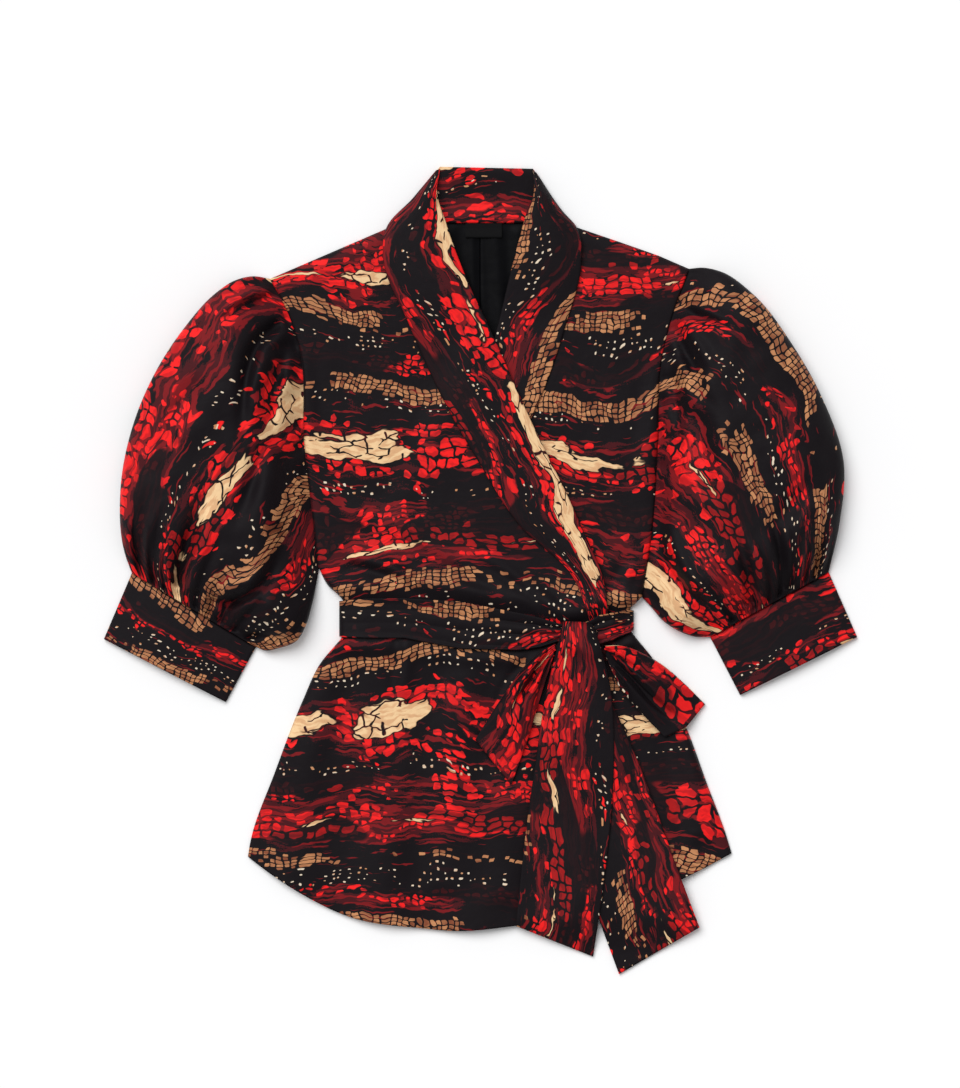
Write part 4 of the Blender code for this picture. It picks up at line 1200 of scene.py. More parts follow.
@dataclass(frozen=True)
class Loop:
    """One loop of the bow: its edges from the knot out, its end fold and the creases that run into it."""

    outer: Rows
    inner: Rows
    end: Rows
    folds: Sequence[Fold]


@dataclass(frozen=True)
class End:
    """One free end of the tie: its edges from the knot down, and the pleats that the knot gathers in it."""

    right: Rows
    left: Rows
    depth: float
    pleats: float = 2.0


@dataclass
class Tie:
    """The belt round the waist, its knot, the two bow loops and the two free ends."""

    finishes: Finishes
    belt_width: float = 46.0
    belt_side: float = 3.7
    belt_round: float = 6.0
    belt_round_below: float = 4.0
    belt_rows: int = 40
    belt_columns: tuple[int, float] = (210, 0.5)
    belt_columns_below: tuple[int, float] = (90, 0.7)
    pinch_starts: Span = (-110, 84)
    pinch_ends: Span = (112, 150)
    pinch_least: float = 0.4
    pinch_gain: float = 2.6
    pinch_pleats: float = 3.0
    pinch_first: float = 0.18
    pinch_wander: float = 0.06
    pinch_cell: float = 45.0
    pinch_height: float = 40.0
    pinch_power: float = 0.8
    belt_edge: float = 1.1
    belt_edge_share: float = 0.09
    knot_at: tuple[float, float, float] = (98.0, -64.5, 16.6)
    knot_half: tuple[float, float, float] = (19.5, 12.5, 3.7)
    knot_grid: tuple[int, int] = (48, 96)
    knot_squared: float = 0.8
    knot_crease: float = 0.06
    knot_creases: Span = (2.5, 1.2)
    knot_cut: Span = (24.0, 80.0)
    knot_wall: float = 0.4
    loop_right: Loop = Loop(
        outer=((74.5, -73.0), (56.0, -84.0), (22.9, -124.5), (-5.2, -168.9)),
        inner=((72.5, -87.0), (61.0, -122.0), (49.0, -162.5), (30.5, -213.5)),
        end=((-5.2, -168.9), (30.5, -213.5)),
        folds=(
            Fold(((71.5, -78), (55.5, -101), (43, -121), (26, -152)), 3.8, 13.0, 4.5, False, 0.02, 0.6),
            Fold(((73, -86), (62, -112), (51, -146)), 3.2, 11.0, 2.5, False, 0.02, 0.6),
        ),
    )
    loop_left: Loop = Loop(
        outer=((124.5, -75.5), (139.5, -75.0), (172.5, -88.5), (205.5, -115.0), (224.5, -133.5)),
        inner=((125.5, -87.0), (139.5, -117.0), (169.5, -151.5), (184.5, -166.5)),
        end=((224.5, -133.5), (205.5, -156.5), (184.5, -166.5)),
        folds=(
            Fold(((124, -80), (143, -90.5), (166, -107), (184, -123)), 3.4, 9.0, 3.0, True, 0.02, 0.7),
            Fold(((124.5, -85.5), (146, -102), (173, -130), (203, -153)), 4.0, 14.0, 5.0, True, 0.02, 0.4),
            Fold(((125, -90), (136, -107), (151, -129)), 2.8, 9.0, 2.5, True, 0.02, 0.6),
        ),
    )
    loop_width: float = 48.0
    loop_rows: int = 70
    loop_columns: tuple[int, float] = (56, 0.4)
    loop_fold: float = 0.6
    loop_tuck: int = 4
    loop_starts: Span = (-0.2, 0.28)
    loop_falls: Span = (0.4, 1.0)
    loop_swell: float = 12.5
    loop_swell_power: float = 0.55
    loop_least: float = 0.8
    loop_roll: float = 2.0
    loop_roll_share: float = 0.13
    loop_bend: tuple[int, int, int] = (20, 160, 8)
    loop_bend_cut: Span = (1.01, 1.02)
    loop_top_cut: float = 1.03
    loop_right_lies: float = 0.8
    loop_left_climb: float = 3.6
    loop_left_floor: float = 1.0
    loop_climb: Span = (148, 128)
    loop_overhang: Span = (-2, 26)
    tail_front: End = End(
        right=(
            (83.0, -50.5), (79.0, -66.0), (73.9, -86.0), (66.2, -119.5), (53.5, -200.5), (40.5, -302.5),
            (35.5, -355.0),
        ),
        left=(
            (111.0, -51.5), (116.5, -66.0), (122.5, -86.0), (130.0, -119.5), (132.5, -150.0),
            (132.5, -213.5), (122.5, -315.5), (112.5, -386.0),
        ),
        depth=1.2,
    )
    tail_back: End = End(
        right=((95.0, -115.0), (85.0, -180.0), (92.0, -260.0), (118.5, -348.5), (138.5, -403.5)),
        left=((120.0, -112.0), (145.5, -162.5), (173.5, -234.0), (196.5, -297.5), (218.8, -356.5)),
        depth=2.0,
    )
    tail_rise: Rows = (
        (-50.5, 5.0), (-55.0, 8.4), (-63.0, 10.2), (-76.0, 9.8), (-92.0, 7.4), (-120.0, 4.4), (-215.0, 0.0),
    )
    tail_front_lies: float = 5.4
    tail_front_foot: float = 0.8
    tail_back_lies: float = 3.0
    tail_fall: Span = (345, 386)
    tail_grid: tuple[int, int] = (150, 48)
    tail_wander: float = 0.06
    tail_wander_waves: float = 7.0
    tail_pleat_power: float = 0.8
    tail_opens: Span = (0.05, 0.55)
    tail_sunk: float = 0.4
    tail_arch: float = 3.5
    tail_arch_power: float = 0.7
    tail_uneven: float = 0.9
    tail_cell: float = 36.0
    tail_free: Span = (90, 160)
    top_turn: float = 5.5
    top_round: float = 11.0

    def belt(self) -> bpy.types.Object:
        """The belt as one ring round the waist, with creases in front that draw together at the knot.

        Returns:
            The piece, a tube open above and below.
        """
        rows = np.array(BELT_EDGES)
        ends = rows[[0, -1]]
        width = rows[-1, 0] - rows[0, 0]
        down = even(self.belt_rows)

        def section(across: Array, edges: Array) -> tuple[Array, Array]:
            """Grid of x, y between the two edges, and the distance of each column from the nearer side."""
            x = rows[0, 0] + across * width
            upper, lower = (np.interp(x, edges[:, 0], edges[:, k]) for k in (1, 2))
            y = upper + (lower - upper) * down[:, None]
            plan = np.stack([np.broadcast_to(x, y.shape), y], axis=-1)
            return plan, np.minimum(across, 1 - across) * width

        across, across_below = crowded(*self.belt_columns), crowded(*self.belt_columns_below)
        plan, away = section(across, rows)
        x, y = plan[..., 0], plan[..., 1]
        top = LAYERS.belt_rise(x, y) + LAYERS.tie + self.pinch(x, down)
        upper = self.belt_side + (top - self.belt_side) * rounded(away, self.belt_round)
        plan_below, away_below = section(across_below, ends)
        lower = self.belt_side * (1 - rounded(away_below, self.belt_round_below)) * np.ones((len(down), 1))
        grid = ring_grid(plan, upper, plan_below, lower)
        flat = ring_map(down[:, None] * self.belt_width, across, across_below, width)
        flat = flat[..., ::-1] * (1.0, -1.0)
        return Cloth(
            "belt", grid, flat, LAYERS.tie, self.finishes.printed, held=Held.FOLDED,
            rests_on=["front_over", "peplum_over"], ring=True,
        ).build()

    def pinch(self, x: Array, down: Array) -> Array:
        """Lengthwise pleats of the belt: shallow at the side, deeper where the knot draws them in."""
        near = smooth(x, *self.pinch_starts) * (1 - smooth(x, *self.pinch_ends))
        wander = self.pinch_wander * noise(x, down[:, None] * self.pinch_height, self.pinch_cell, Seed.BELT)
        turns = self.pinch_pleats * down[:, None] + self.pinch_first + wander
        pleats = np.abs(np.sin(np.pi * turns)) ** self.pinch_power
        edges = sum(bell(share, self.belt_edge_share) for share in (down, 1 - down))
        return (self.pinch_least + self.pinch_gain * near) * pleats + self.belt_edge * edges[:, None]

    def knot(self) -> bpy.types.Object:
        """The knot's core: a flattened ball squared by a power, with slanting creases round it.

        Returns:
            The piece.
        """
        rows, columns = self.knot_grid
        turn = np.linspace(0, 2 * np.pi, columns + 1)[:-1]
        rise = np.linspace(-np.pi / 2, np.pi / 2, rows + 1)[:, None]
        ball = [np.cos(rise) * np.cos(turn), np.cos(rise) * np.sin(turn), np.sin(rise) + 0 * turn]
        ball = np.stack(ball, axis=-1)
        squared = np.sign(ball) * np.abs(ball) ** self.knot_squared
        slant = self.knot_creases[0] * turn + self.knot_creases[1] * rise
        crease = 1 - self.knot_crease * np.abs(np.sin(slant)) * np.cos(rise)
        grid = squared * crease[..., None] * self.knot_half + self.knot_at
        flat = strip_map(self.knot_cut[0] * even(rows), even(columns), self.knot_cut[1])
        return Cloth(
            "knot", grid[::-1], flat, self.knot_wall, self.finishes.printed, held=Held.FOLDED,
            rests_on=["belt"], ring=True,
        ).build()

    def loop(self, name: str, shape: Loop, low: Rise) -> bpy.types.Object:
        """Bow loop: out from the knot along the floor of the loop, round its end fold and back on top.

        Args:
            name: Name of its node.
            shape: Its edges and creases.
            low: Underside of the loop.

        Returns:
            The piece.
        """
        along, across = even(self.loop_rows), crowded(*self.loop_columns)
        start = straight_line((shape.outer[0], shape.inner[0]), across)
        outer, inner = smooth_line(shape.outer, along), smooth_line(shape.inner, along)
        plan = patch(start, straight_line(shape.end, across), outer, inner, along, across)
        away = np.subtract(np.mean(shape.end, axis=0), np.mean((shape.outer[0], shape.inner[0]), axis=0))
        reach = np.linalg.norm(away)
        away /= reach
        fold = LAYERS.tie + self.loop_fold
        plan = plan - away * fold * (along**self.loop_tuck)[:, None, None]
        under = low(plan[..., 0], plan[..., 1])
        roll = self.loop_roll * bell(across, self.loop_roll_share)[None]
        puff = np.sin(np.pi * np.clip(across, 0, 1))[None]
        fade = (smooth(along, *self.loop_starts) * (1 - smooth(along, *self.loop_falls)))[:, None]
        swell = (self.loop_swell * puff**self.loop_swell_power + roll) * fade + self.loop_least * puff
        upper = under + 2 * fold + np.maximum(swell + folded(plan, shape.folds), 0)
        turn = np.radians(np.linspace(*self.loop_bend))[:, None]
        tip = plan[-1][None] + away * fold * np.sin(turn)[..., None]
        middle = (under[-1] + upper[-1]) / 2
        bend = middle - (upper[-1] - under[-1]) / 2 * np.cos(turn)
        top = level_grid(plan, upper)[::-1]
        grid = np.concatenate([level_grid(plan, under), level_grid(tip, bend), top])
        run = [along, np.linspace(*self.loop_bend_cut, len(turn)), self.loop_top_cut + along]
        flat = strip_map(np.concatenate(run) * reach, across, self.loop_width)
        return Cloth(
            name, grid, flat, LAYERS.tie, self.finishes.printed, held=Held.FOLDED, rests_on=["peplum_over"]
        ).build()

    def end(self, name: str, shape: End, low: Rise) -> bpy.types.Object:
        """One free end of the tie, with a straight cut foot.

        Its height is low, plus pleats and an arch across that open out down its length, less a quarter
        round at its top, where it turns in behind the knot.

        Args:
            name: Name of its node.
            shape: Its edges and pleats.
            low: Underside of the end.

        Returns:
            The piece.
        """
        down, across = (even(count) for count in self.tail_grid)
        right, left = smooth_line(shape.right, down), smooth_line(shape.left, down)
        top, foot = (straight_line((shape.right[k], shape.left[k]), across) for k in (0, -1))
        plan = patch(top, foot, right, left, down, across)
        x, y = plan[..., 0], plan[..., 1]
        turns = shape.pleats * across + self.tail_wander * np.sin(self.tail_wander_waves * across)
        wave = np.abs(np.sin(np.pi * turns))[None] ** self.tail_pleat_power
        fade = (1 - smooth(down, *self.tail_opens))[:, None]
        arch = np.sin(np.pi * across)[None] ** self.tail_arch_power
        height = low(x, y) + (shape.depth * wave - self.tail_sunk + self.tail_arch * arch) * fade
        uneven = self.tail_uneven * (1 + noise(x, y, self.tail_cell, Seed.TIE_END))
        height += uneven * smooth(-y, *self.tail_free)
        height -= self.top_turn * (1 - rounded(shape.right[0][1] - y, self.top_round))
        return Cloth(
            name, level_grid(plan, height + LAYERS.tie), band_map(right, left, across), LAYERS.tie,
            self.finishes.printed, rests_on=["peplum_over", "floor"],
        ).build()

    def tail_front_low(self, x: Array, y: Array) -> Array:
        """Underside of the front end: over the knot, down on the layers, and on the floor past the hem."""
        rise = np.array(self.tail_rise[::-1])
        above = LAYERS.body_rise(x, y) + self.tail_front_lies + np.interp(y, rise[:, 0], rise[:, 1])
        return above + (self.tail_front_foot - above) * smooth(-y, *self.tail_fall)

    def tail_back_low(self, x: Array, y: Array) -> Array:
        """Underside of the end behind: on the lower peplum, and on the floor past the hem."""
        above = LAYERS.body_rise(x, y) + self.tail_back_lies
        return above + (LAYERS.edge_rest - above) * smooth(-y, *self.tail_fall)

    def loop_right_low(self, x: Array, y: Array) -> Array:
        """Underside of the loop on the upper peplum."""
        return LAYERS.body_rise(x, y) + LAYERS.lap_bodice + self.loop_right_lies

    def loop_left_low(self, x: Array, y: Array) -> Array:
        """Underside of the loop that overhangs the lower peplum's side."""
        side = np.array(PEPLUM_SIDE[Side.LEFT][::-1])
        beyond = smooth(x - np.interp(y, side[:, 1], side[:, 0]), *self.loop_overhang)
        climb = self.loop_left_climb * smooth(x, *self.loop_climb)
        above = LAYERS.body_rise(x, y) + LAYERS.cloth + LAYERS.layer_gap + climb
        return above + (LAYERS.edge_rest + self.loop_left_floor - above) * beyond

    def build(self) -> list[bpy.types.Object]:
        """Belt, knot, loops and ends."""
        return [
            self.belt(),
            self.knot(),
            self.loop("loop_right", self.loop_right, self.loop_right_low),
            self.loop("loop_left", self.loop_left, self.loop_left_low),
            self.end("tail_back", self.tail_back, self.tail_back_low),
            self.end("tail_front", self.tail_front, self.tail_front_low),
        ]


def sleeve_of(side: Side, finishes: Finishes) -> Sleeve:
    """The sleeve of one side, with the outline and the folds that it has as laid out.

    Args:
        side: Which side.
        finishes: Materials of the top.

    Returns:
        The sub-assembly, not yet built.
    """
    if side is Side.RIGHT:
        return Sleeve(
            side,
            outer=(
                (-210.5, 291.5), (-228.0, 294.0), (-245.8, 289.5), (-264.5, 276.9), (-294.8, 243.5),
                (-343.8, 154.5), (-359.5, 80.0), (-354.5, 14.5), (-348.5, -2.5),
            ),
            inner=(
                (-162.5, 4.5), (-164.0, -13.5), (-168.5, -35.5), (-175.0, -56.5), (-183.5, -70.2),
                (-201.5, -77.5), (-214.5, -80.0), (-224.5, -76.5),
            ),
            cuff_hem=((-376.5, -68.5), (-254.5, -131.5)),
            folds=(
                Fold(
                    ((-206, 274), (-232, 264), (-268, 240)),
                    4.5, 7.5, 6.5, left=False, fade_in=0.05, fade_out=0.7,
                ),
                Fold(
                    ((-197, 250), (-222, 226), (-235, 180), (-236, 112)),
                    6.5, 13.0, 6.5, fade_in=0.05, fade_out=0.7,
                ),
                Fold(((-188, 228), (-204, 190), (-208, 120)), 6.0, 9.0, 4.0, fade_out=0.7),
                Fold(
                    ((-262, 214), (-300, 156), (-322, 96)),
                    11.0, 5.5, 3.0, left=False, fade_in=0.5, fade_out=0.6,
                ),
                Fold(((-214, 138), (-226, 92), (-246, 34)), 8.0, 9.0, 4.0, fade_in=0.5, fade_out=0.5),
                Fold(((-330, 92), (-340, 30), (-339, -8)), 5.5, 9.0, 3.5, fade_in=0.7, fade_out=0.05),
                Fold(((-312, 72), (-324, 18), (-323, -18)), 5.0, 8.0, 3.5, fade_in=0.7, fade_out=0.05),
                Fold(((-272, 92), (-288, 36), (-303, -18)), 7.5, 14.0, 5.5, fade_in=0.7, fade_out=0.05),
                Fold(
                    ((-276, -28), (-250, -32), (-214, -10), (-198, 30)),
                    5.5, 13.0, 6.5, fade_in=0.2, fade_out=0.6,
                ),
                Fold(((-188, 84), (-198, 24), (-206, -26)), 10.0, 6.0, 2.6, left=False, fade_in=0.5),
                Fold(((-252, -58), (-222, -66), (-184, -66)), 3.6, 5.8, 1.3),
            ),
            finishes=finishes,
        )
    return Sleeve(
        side,
        outer=(
            (208.5, 301.5), (222.5, 302.6), (239.0, 299.0), (272.2, 275.8), (312.0, 224.5), (341.5, 171.5),
            (362.5, 108.5), (358.5, 47.5), (348.0, -1.5),
        ),
        inner=(
            (161.5, -25.5), (169.4, -35.3), (182.5, -50.3), (197.5, -60.2), (214.0, -66.0), (229.5, -66.5),
        ),
        cuff_hem=((376.5, -66.5), (259.5, -124.5)),
        folds=(
            Fold(((194, 268), (220, 252), (258, 236)), 4.5, 8.0, 6.5, fade_in=0.05, fade_out=0.7),
            Fold(((188, 246), (208, 214), (222, 160)), 6.3, 12.0, 6.5, fade_in=0.05, fade_out=0.7),
            Fold(((184, 222), (194, 180), (196, 110)), 6.3, 9.0, 4.0, fade_out=0.7),
            Fold(((206, 178), (217, 146), (224, 104), (226, 40)), 11.0, 8.5, 5.0, fade_in=0.5, fade_out=0.6),
            Fold(((182, 84), (178, 26), (200, -16), (252, -50)), 7.2, 13.0, 7.8, fade_in=0.5),
            Fold(((330, 96), (304, 58), (276, 32)), 10.0, 7.0, 3.5, fade_in=0.5, fade_out=0.6),
            Fold(((326, 76), (336, 24), (334, -10)), 5.0, 8.0, 3.5, fade_in=0.7, fade_out=0.05),
            Fold(((288, 60), (302, 8), (306, -20)), 5.5, 9.0, 3.5, fade_in=0.7, fade_out=0.05),
            Fold(((252, 44), (266, -6), (268, -36)), 6.5, 11.0, 4.5, fade_in=0.7, fade_out=0.05),
        ),
        finishes=finishes,
    )


def joins(operation: str, swapped: bool = False) -> Callable[["Sock", "Sock | float"], "Sock"]:
    """A method that joins a socket and another value in a Math node.

    Args:
        operation: What the node does.
        swapped: Whether the other value comes first, as in the reflected form of an operator.

    Returns:
        The method, for the class of sockets.
    """

    def method(self: "Sock", other: "Sock | float") -> "Sock":
        """The node's result."""
        return self.math(operation, *((other, self) if swapped else (self, other)))

    return method


class Sock:
    """A socket of a shader. Its arithmetic adds Math nodes.

    Where one socket is above another the result is 1, and 0 elsewhere.
    """

    def __init__(self, shader: "Shader", socket: bpy.types.NodeSocket) -> None:
        """Keeps the shader that the socket is in, and the socket."""
        self.shader = shader
        self.socket = socket

    def math(self, operation: str, *values: "Sock | float") -> "Sock":
        """The result of a Math node on these values, in this order."""
        inputs = {place: value for place, value in enumerate(values)}
        return self.shader.node("ShaderNodeMath", {"operation": operation}, inputs)[0]

    __add__, __radd__ = joins("ADD"), joins("ADD", swapped=True)
    __sub__, __rsub__ = joins("SUBTRACT"), joins("SUBTRACT", swapped=True)
    __mul__, __rmul__ = joins("MULTIPLY"), joins("MULTIPLY", swapped=True)
    above, larger = joins("GREATER_THAN"), joins("MAXIMUM")

    def fraction(self) -> "Sock":
        """What is left after the whole number."""
        return self.math("FRACT", self)

    def sine(self) -> "Sock":
        """The sine, of radians."""
        return self.math("SINE", self)

    def graded(self, low: float, high: float) -> "Sock":
        """An S curve from 0 at low to 1 at high."""
        inputs = {"Value": self, "From Min": low, "From Max": high}
        return self.shader.node("ShaderNodeMapRange", {"interpolation_type": "SMOOTHSTEP"}, inputs)[0]


class Shader:
    """The node tree of one material."""

    def __init__(self, name: str) -> None:
        """A new material with its Principled shader.

        Args:
            name: Name of the material.
        """
        self.material = bpy.data.materials.new(name)
        self.material.use_nodes = True
        self.tree = self.material.node_tree
        self.principled = self.tree.nodes["Principled BSDF"]

    def node(self, kind: str, settings: dict, inputs: dict) -> list[Sock]:
        """Adds a node: its settings first, then the values and links of its sockets.

        Args:
            kind: Blender's type of the node.
            settings: Its properties by name. "stops" gives a ramp's places and colours.
            inputs: Values or sockets, by the place, identifier or name of the input.

        Returns:
            Its outputs that are switched on, in order.
        """
        made = self.tree.nodes.new(kind)
        for name, value in settings.items():
            if name == "stops":
                self.set_stops(made.color_ramp, value)
            else:
                setattr(made, name, value)
        for key, value in inputs.items():
            self.feed(self.socket_of(made.inputs, key), value)
        return [Sock(self, socket) for socket in made.outputs if socket.enabled]

    def feed(self, socket: bpy.types.NodeSocket, value: "Sock | float | tuple") -> None:
        """Links a socket, or sets its own value."""
        if isinstance(value, Sock):
            self.tree.links.new(value.socket, socket)
        else:
            socket.default_value = value

    def set_stops(self, ramp: bpy.types.ColorRamp, stops: Sequence[tuple[float, float]]) -> None:
        """Grey stops of a ramp: places and brightnesses."""
        ramp.elements[0].position, ramp.elements[1].position = stops[0][0], stops[-1][0]
        for place, _ in stops[1:-1]:
            ramp.elements.new(place)
        for element, (place, level) in zip(ramp.elements, stops):
            element.position = place
            element.color = (level, level, level, 1)

    @staticmethod
    def socket_of(sockets: bpy.types.bpy_prop_collection, key: int | str) -> bpy.types.NodeSocket:
        """The socket with this place, identifier or name."""
        if isinstance(key, int):
            return sockets[key]
        return next((socket for socket in sockets if socket.identifier == key), None) or sockets[key]

    def mixed(self, share: Sock | float, first: Sock | tuple, second: Sock | tuple) -> Sock:
        """Colour that goes from the first to the second as the share goes from 0 to 1."""
        inputs = {"Factor_Float": share, "A_Color": first, "B_Color": second}
        return self.node("ShaderNodeMix", {"data_type": "RGBA"}, inputs)[0]

    def moved(self, vector: Sock, scale: Sequence[float], shift: Sequence[float] | Sock) -> Sock:
        """Vector times a scale plus a shift."""
        shift = shift if isinstance(shift, Sock) else tuple(shift)
        inputs = {0: vector, 1: tuple(scale), 2: shift}
        return self.node("ShaderNodeVectorMath", {"operation": "MULTIPLY_ADD"}, inputs)[0]

    def parts(self, vector: Sock) -> list[Sock]:
        """The three numbers of a vector."""
        return self.node("ShaderNodeSeparateXYZ", {}, {0: vector})

    def noise(self, at: Sock, scale: float, detail: float = 0.0) -> list[Sock]:
        """Flat noise texture: its level and its colour."""
        inputs = {"Vector": at, "Scale": scale, "Detail": detail}
        return self.node("ShaderNodeTexNoise", {"noise_dimensions": "2D"}, inputs)

    def cloth_map(self) -> Sock:
        """Place on the cloth, in metres."""
        return self.node("ShaderNodeUVMap", {"uv_map": CLOTH_MAP}, {})[0]

    def constants(self, **values: float | tuple) -> None:
        """Numbers that are the same all over the surface, on the shader's own sockets."""
        for name, value in values.items():
            label = name.replace("_", " ").title().replace("Ior", "IOR")
            self.principled.inputs[label].default_value = value

    def varying(self, name: str, value: Sock) -> None:
        """Links what changes over the surface to a socket of the shader."""
        self.tree.links.new(value.socket, self.principled.inputs[name])

    def bump(self, height: Sock, distance: float, strength: float, below: Sock | None = None) -> Sock:
        """Normal of a relief of this height in metres, on top of another relief."""
        inputs = {"Height": height, "Distance": distance, "Strength": strength}
        if below is not None:
            inputs["Normal"] = below
        return self.node("ShaderNodeBump", {}, inputs)[0]


@dataclass(frozen=True)
class Grain:
    """Noise stretched along the bands: cells to a metre each way, a shift in cells, and finer octaves."""

    scale: Span
    shift: Span = (0, 0)
    detail: float = 1.0

    def build(self, shader: Shader, at: Sock) -> Sock:
        """Its level at a place on the cloth."""
        return shader.noise(shader.moved(at, (*self.scale, 0), (*self.shift, 0)), 1.0, self.detail)[0]


@dataclass(frozen=True)
class Dabs:
    """One kind of printed mark: cells of a jittered lattice, parted by lines of the ground.

    The cells are measured in the metric of the exponent, where 2 is round and more is squarer. The
    line between them is where the two nearest middles are almost as far away.
    A cell is kept whole or not at all, by its own random number against the density that the band has
    at its middle, so that no mark is cut off by the band's edge. A band is a place down the repeat and
    the density there.
    """

    cell: Span
    line: float
    jitter: float
    seed: float
    bands: Rows
    patchy: float = 0.5
    patch: Span = (14.0, 40.0)
    patch_edge: Span = (0.35, 0.65)
    exponent: float = 4.0
    line_least: float = 1.4
    line_gain: float = 1.6
    edge: float = 0.08
    round: bool = False
    round_gain: float = 0.12
    round_edge: float = 0.05

    def build(self, shader: Shader, at: Sock, period: float) -> tuple[Sock, Sock]:
        """Adds the dabs to a shader.

        Args:
            shader: The print's shader.
            at: Place on the cloth, in metres, already wavy.
            period: Height of one repeat of the bands.

        Returns:
            Where the dabs are, and a random number of each dab.
        """
        across, down = self.cell
        scaled = shader.moved(at, (1 / across, 1 / down, 0), (self.seed, self.seed, 0))
        inputs = {"Vector": scaled, "Scale": 1.0, "Randomness": self.jitter, "Exponent": self.exponent}
        settings = {"voronoi_dimensions": "2D", "distance": "MINKOWSKI", "feature": "F1"}
        distance, colour, middle = shader.node("ShaderNodeTexVoronoi", settings, inputs)[:3]
        place = shader.moved(middle, (across, down, 0), (-self.seed * across, -self.seed * down, 0))
        height = (shader.parts(place)[1] * (1 / period)).fraction()
        density = shader.node("ShaderNodeValToRGB", {"stops": self.bands}, {0: height})[0]
        spread = Grain(self.patch, (self.seed, 0), 0.0).build(shader, place).graded(*self.patch_edge)
        lot, other, _ = shader.node("ShaderNodeSeparateColor", {}, {0: colour})
        wanted = density * (1 - self.patchy + 2 * self.patchy * spread)
        if self.round:
            shape = (self.line + self.round_gain * other - distance).graded(0.0, self.round_edge)
        else:
            next_one = shader.node("ShaderNodeTexVoronoi", {**settings, "feature": "F2"}, inputs)[0]
            line = self.line * (self.line_least + self.line_gain * other)
            shape = (next_one - distance - line).graded(0.0, self.edge)
        return shape * wanted.above(lot), other


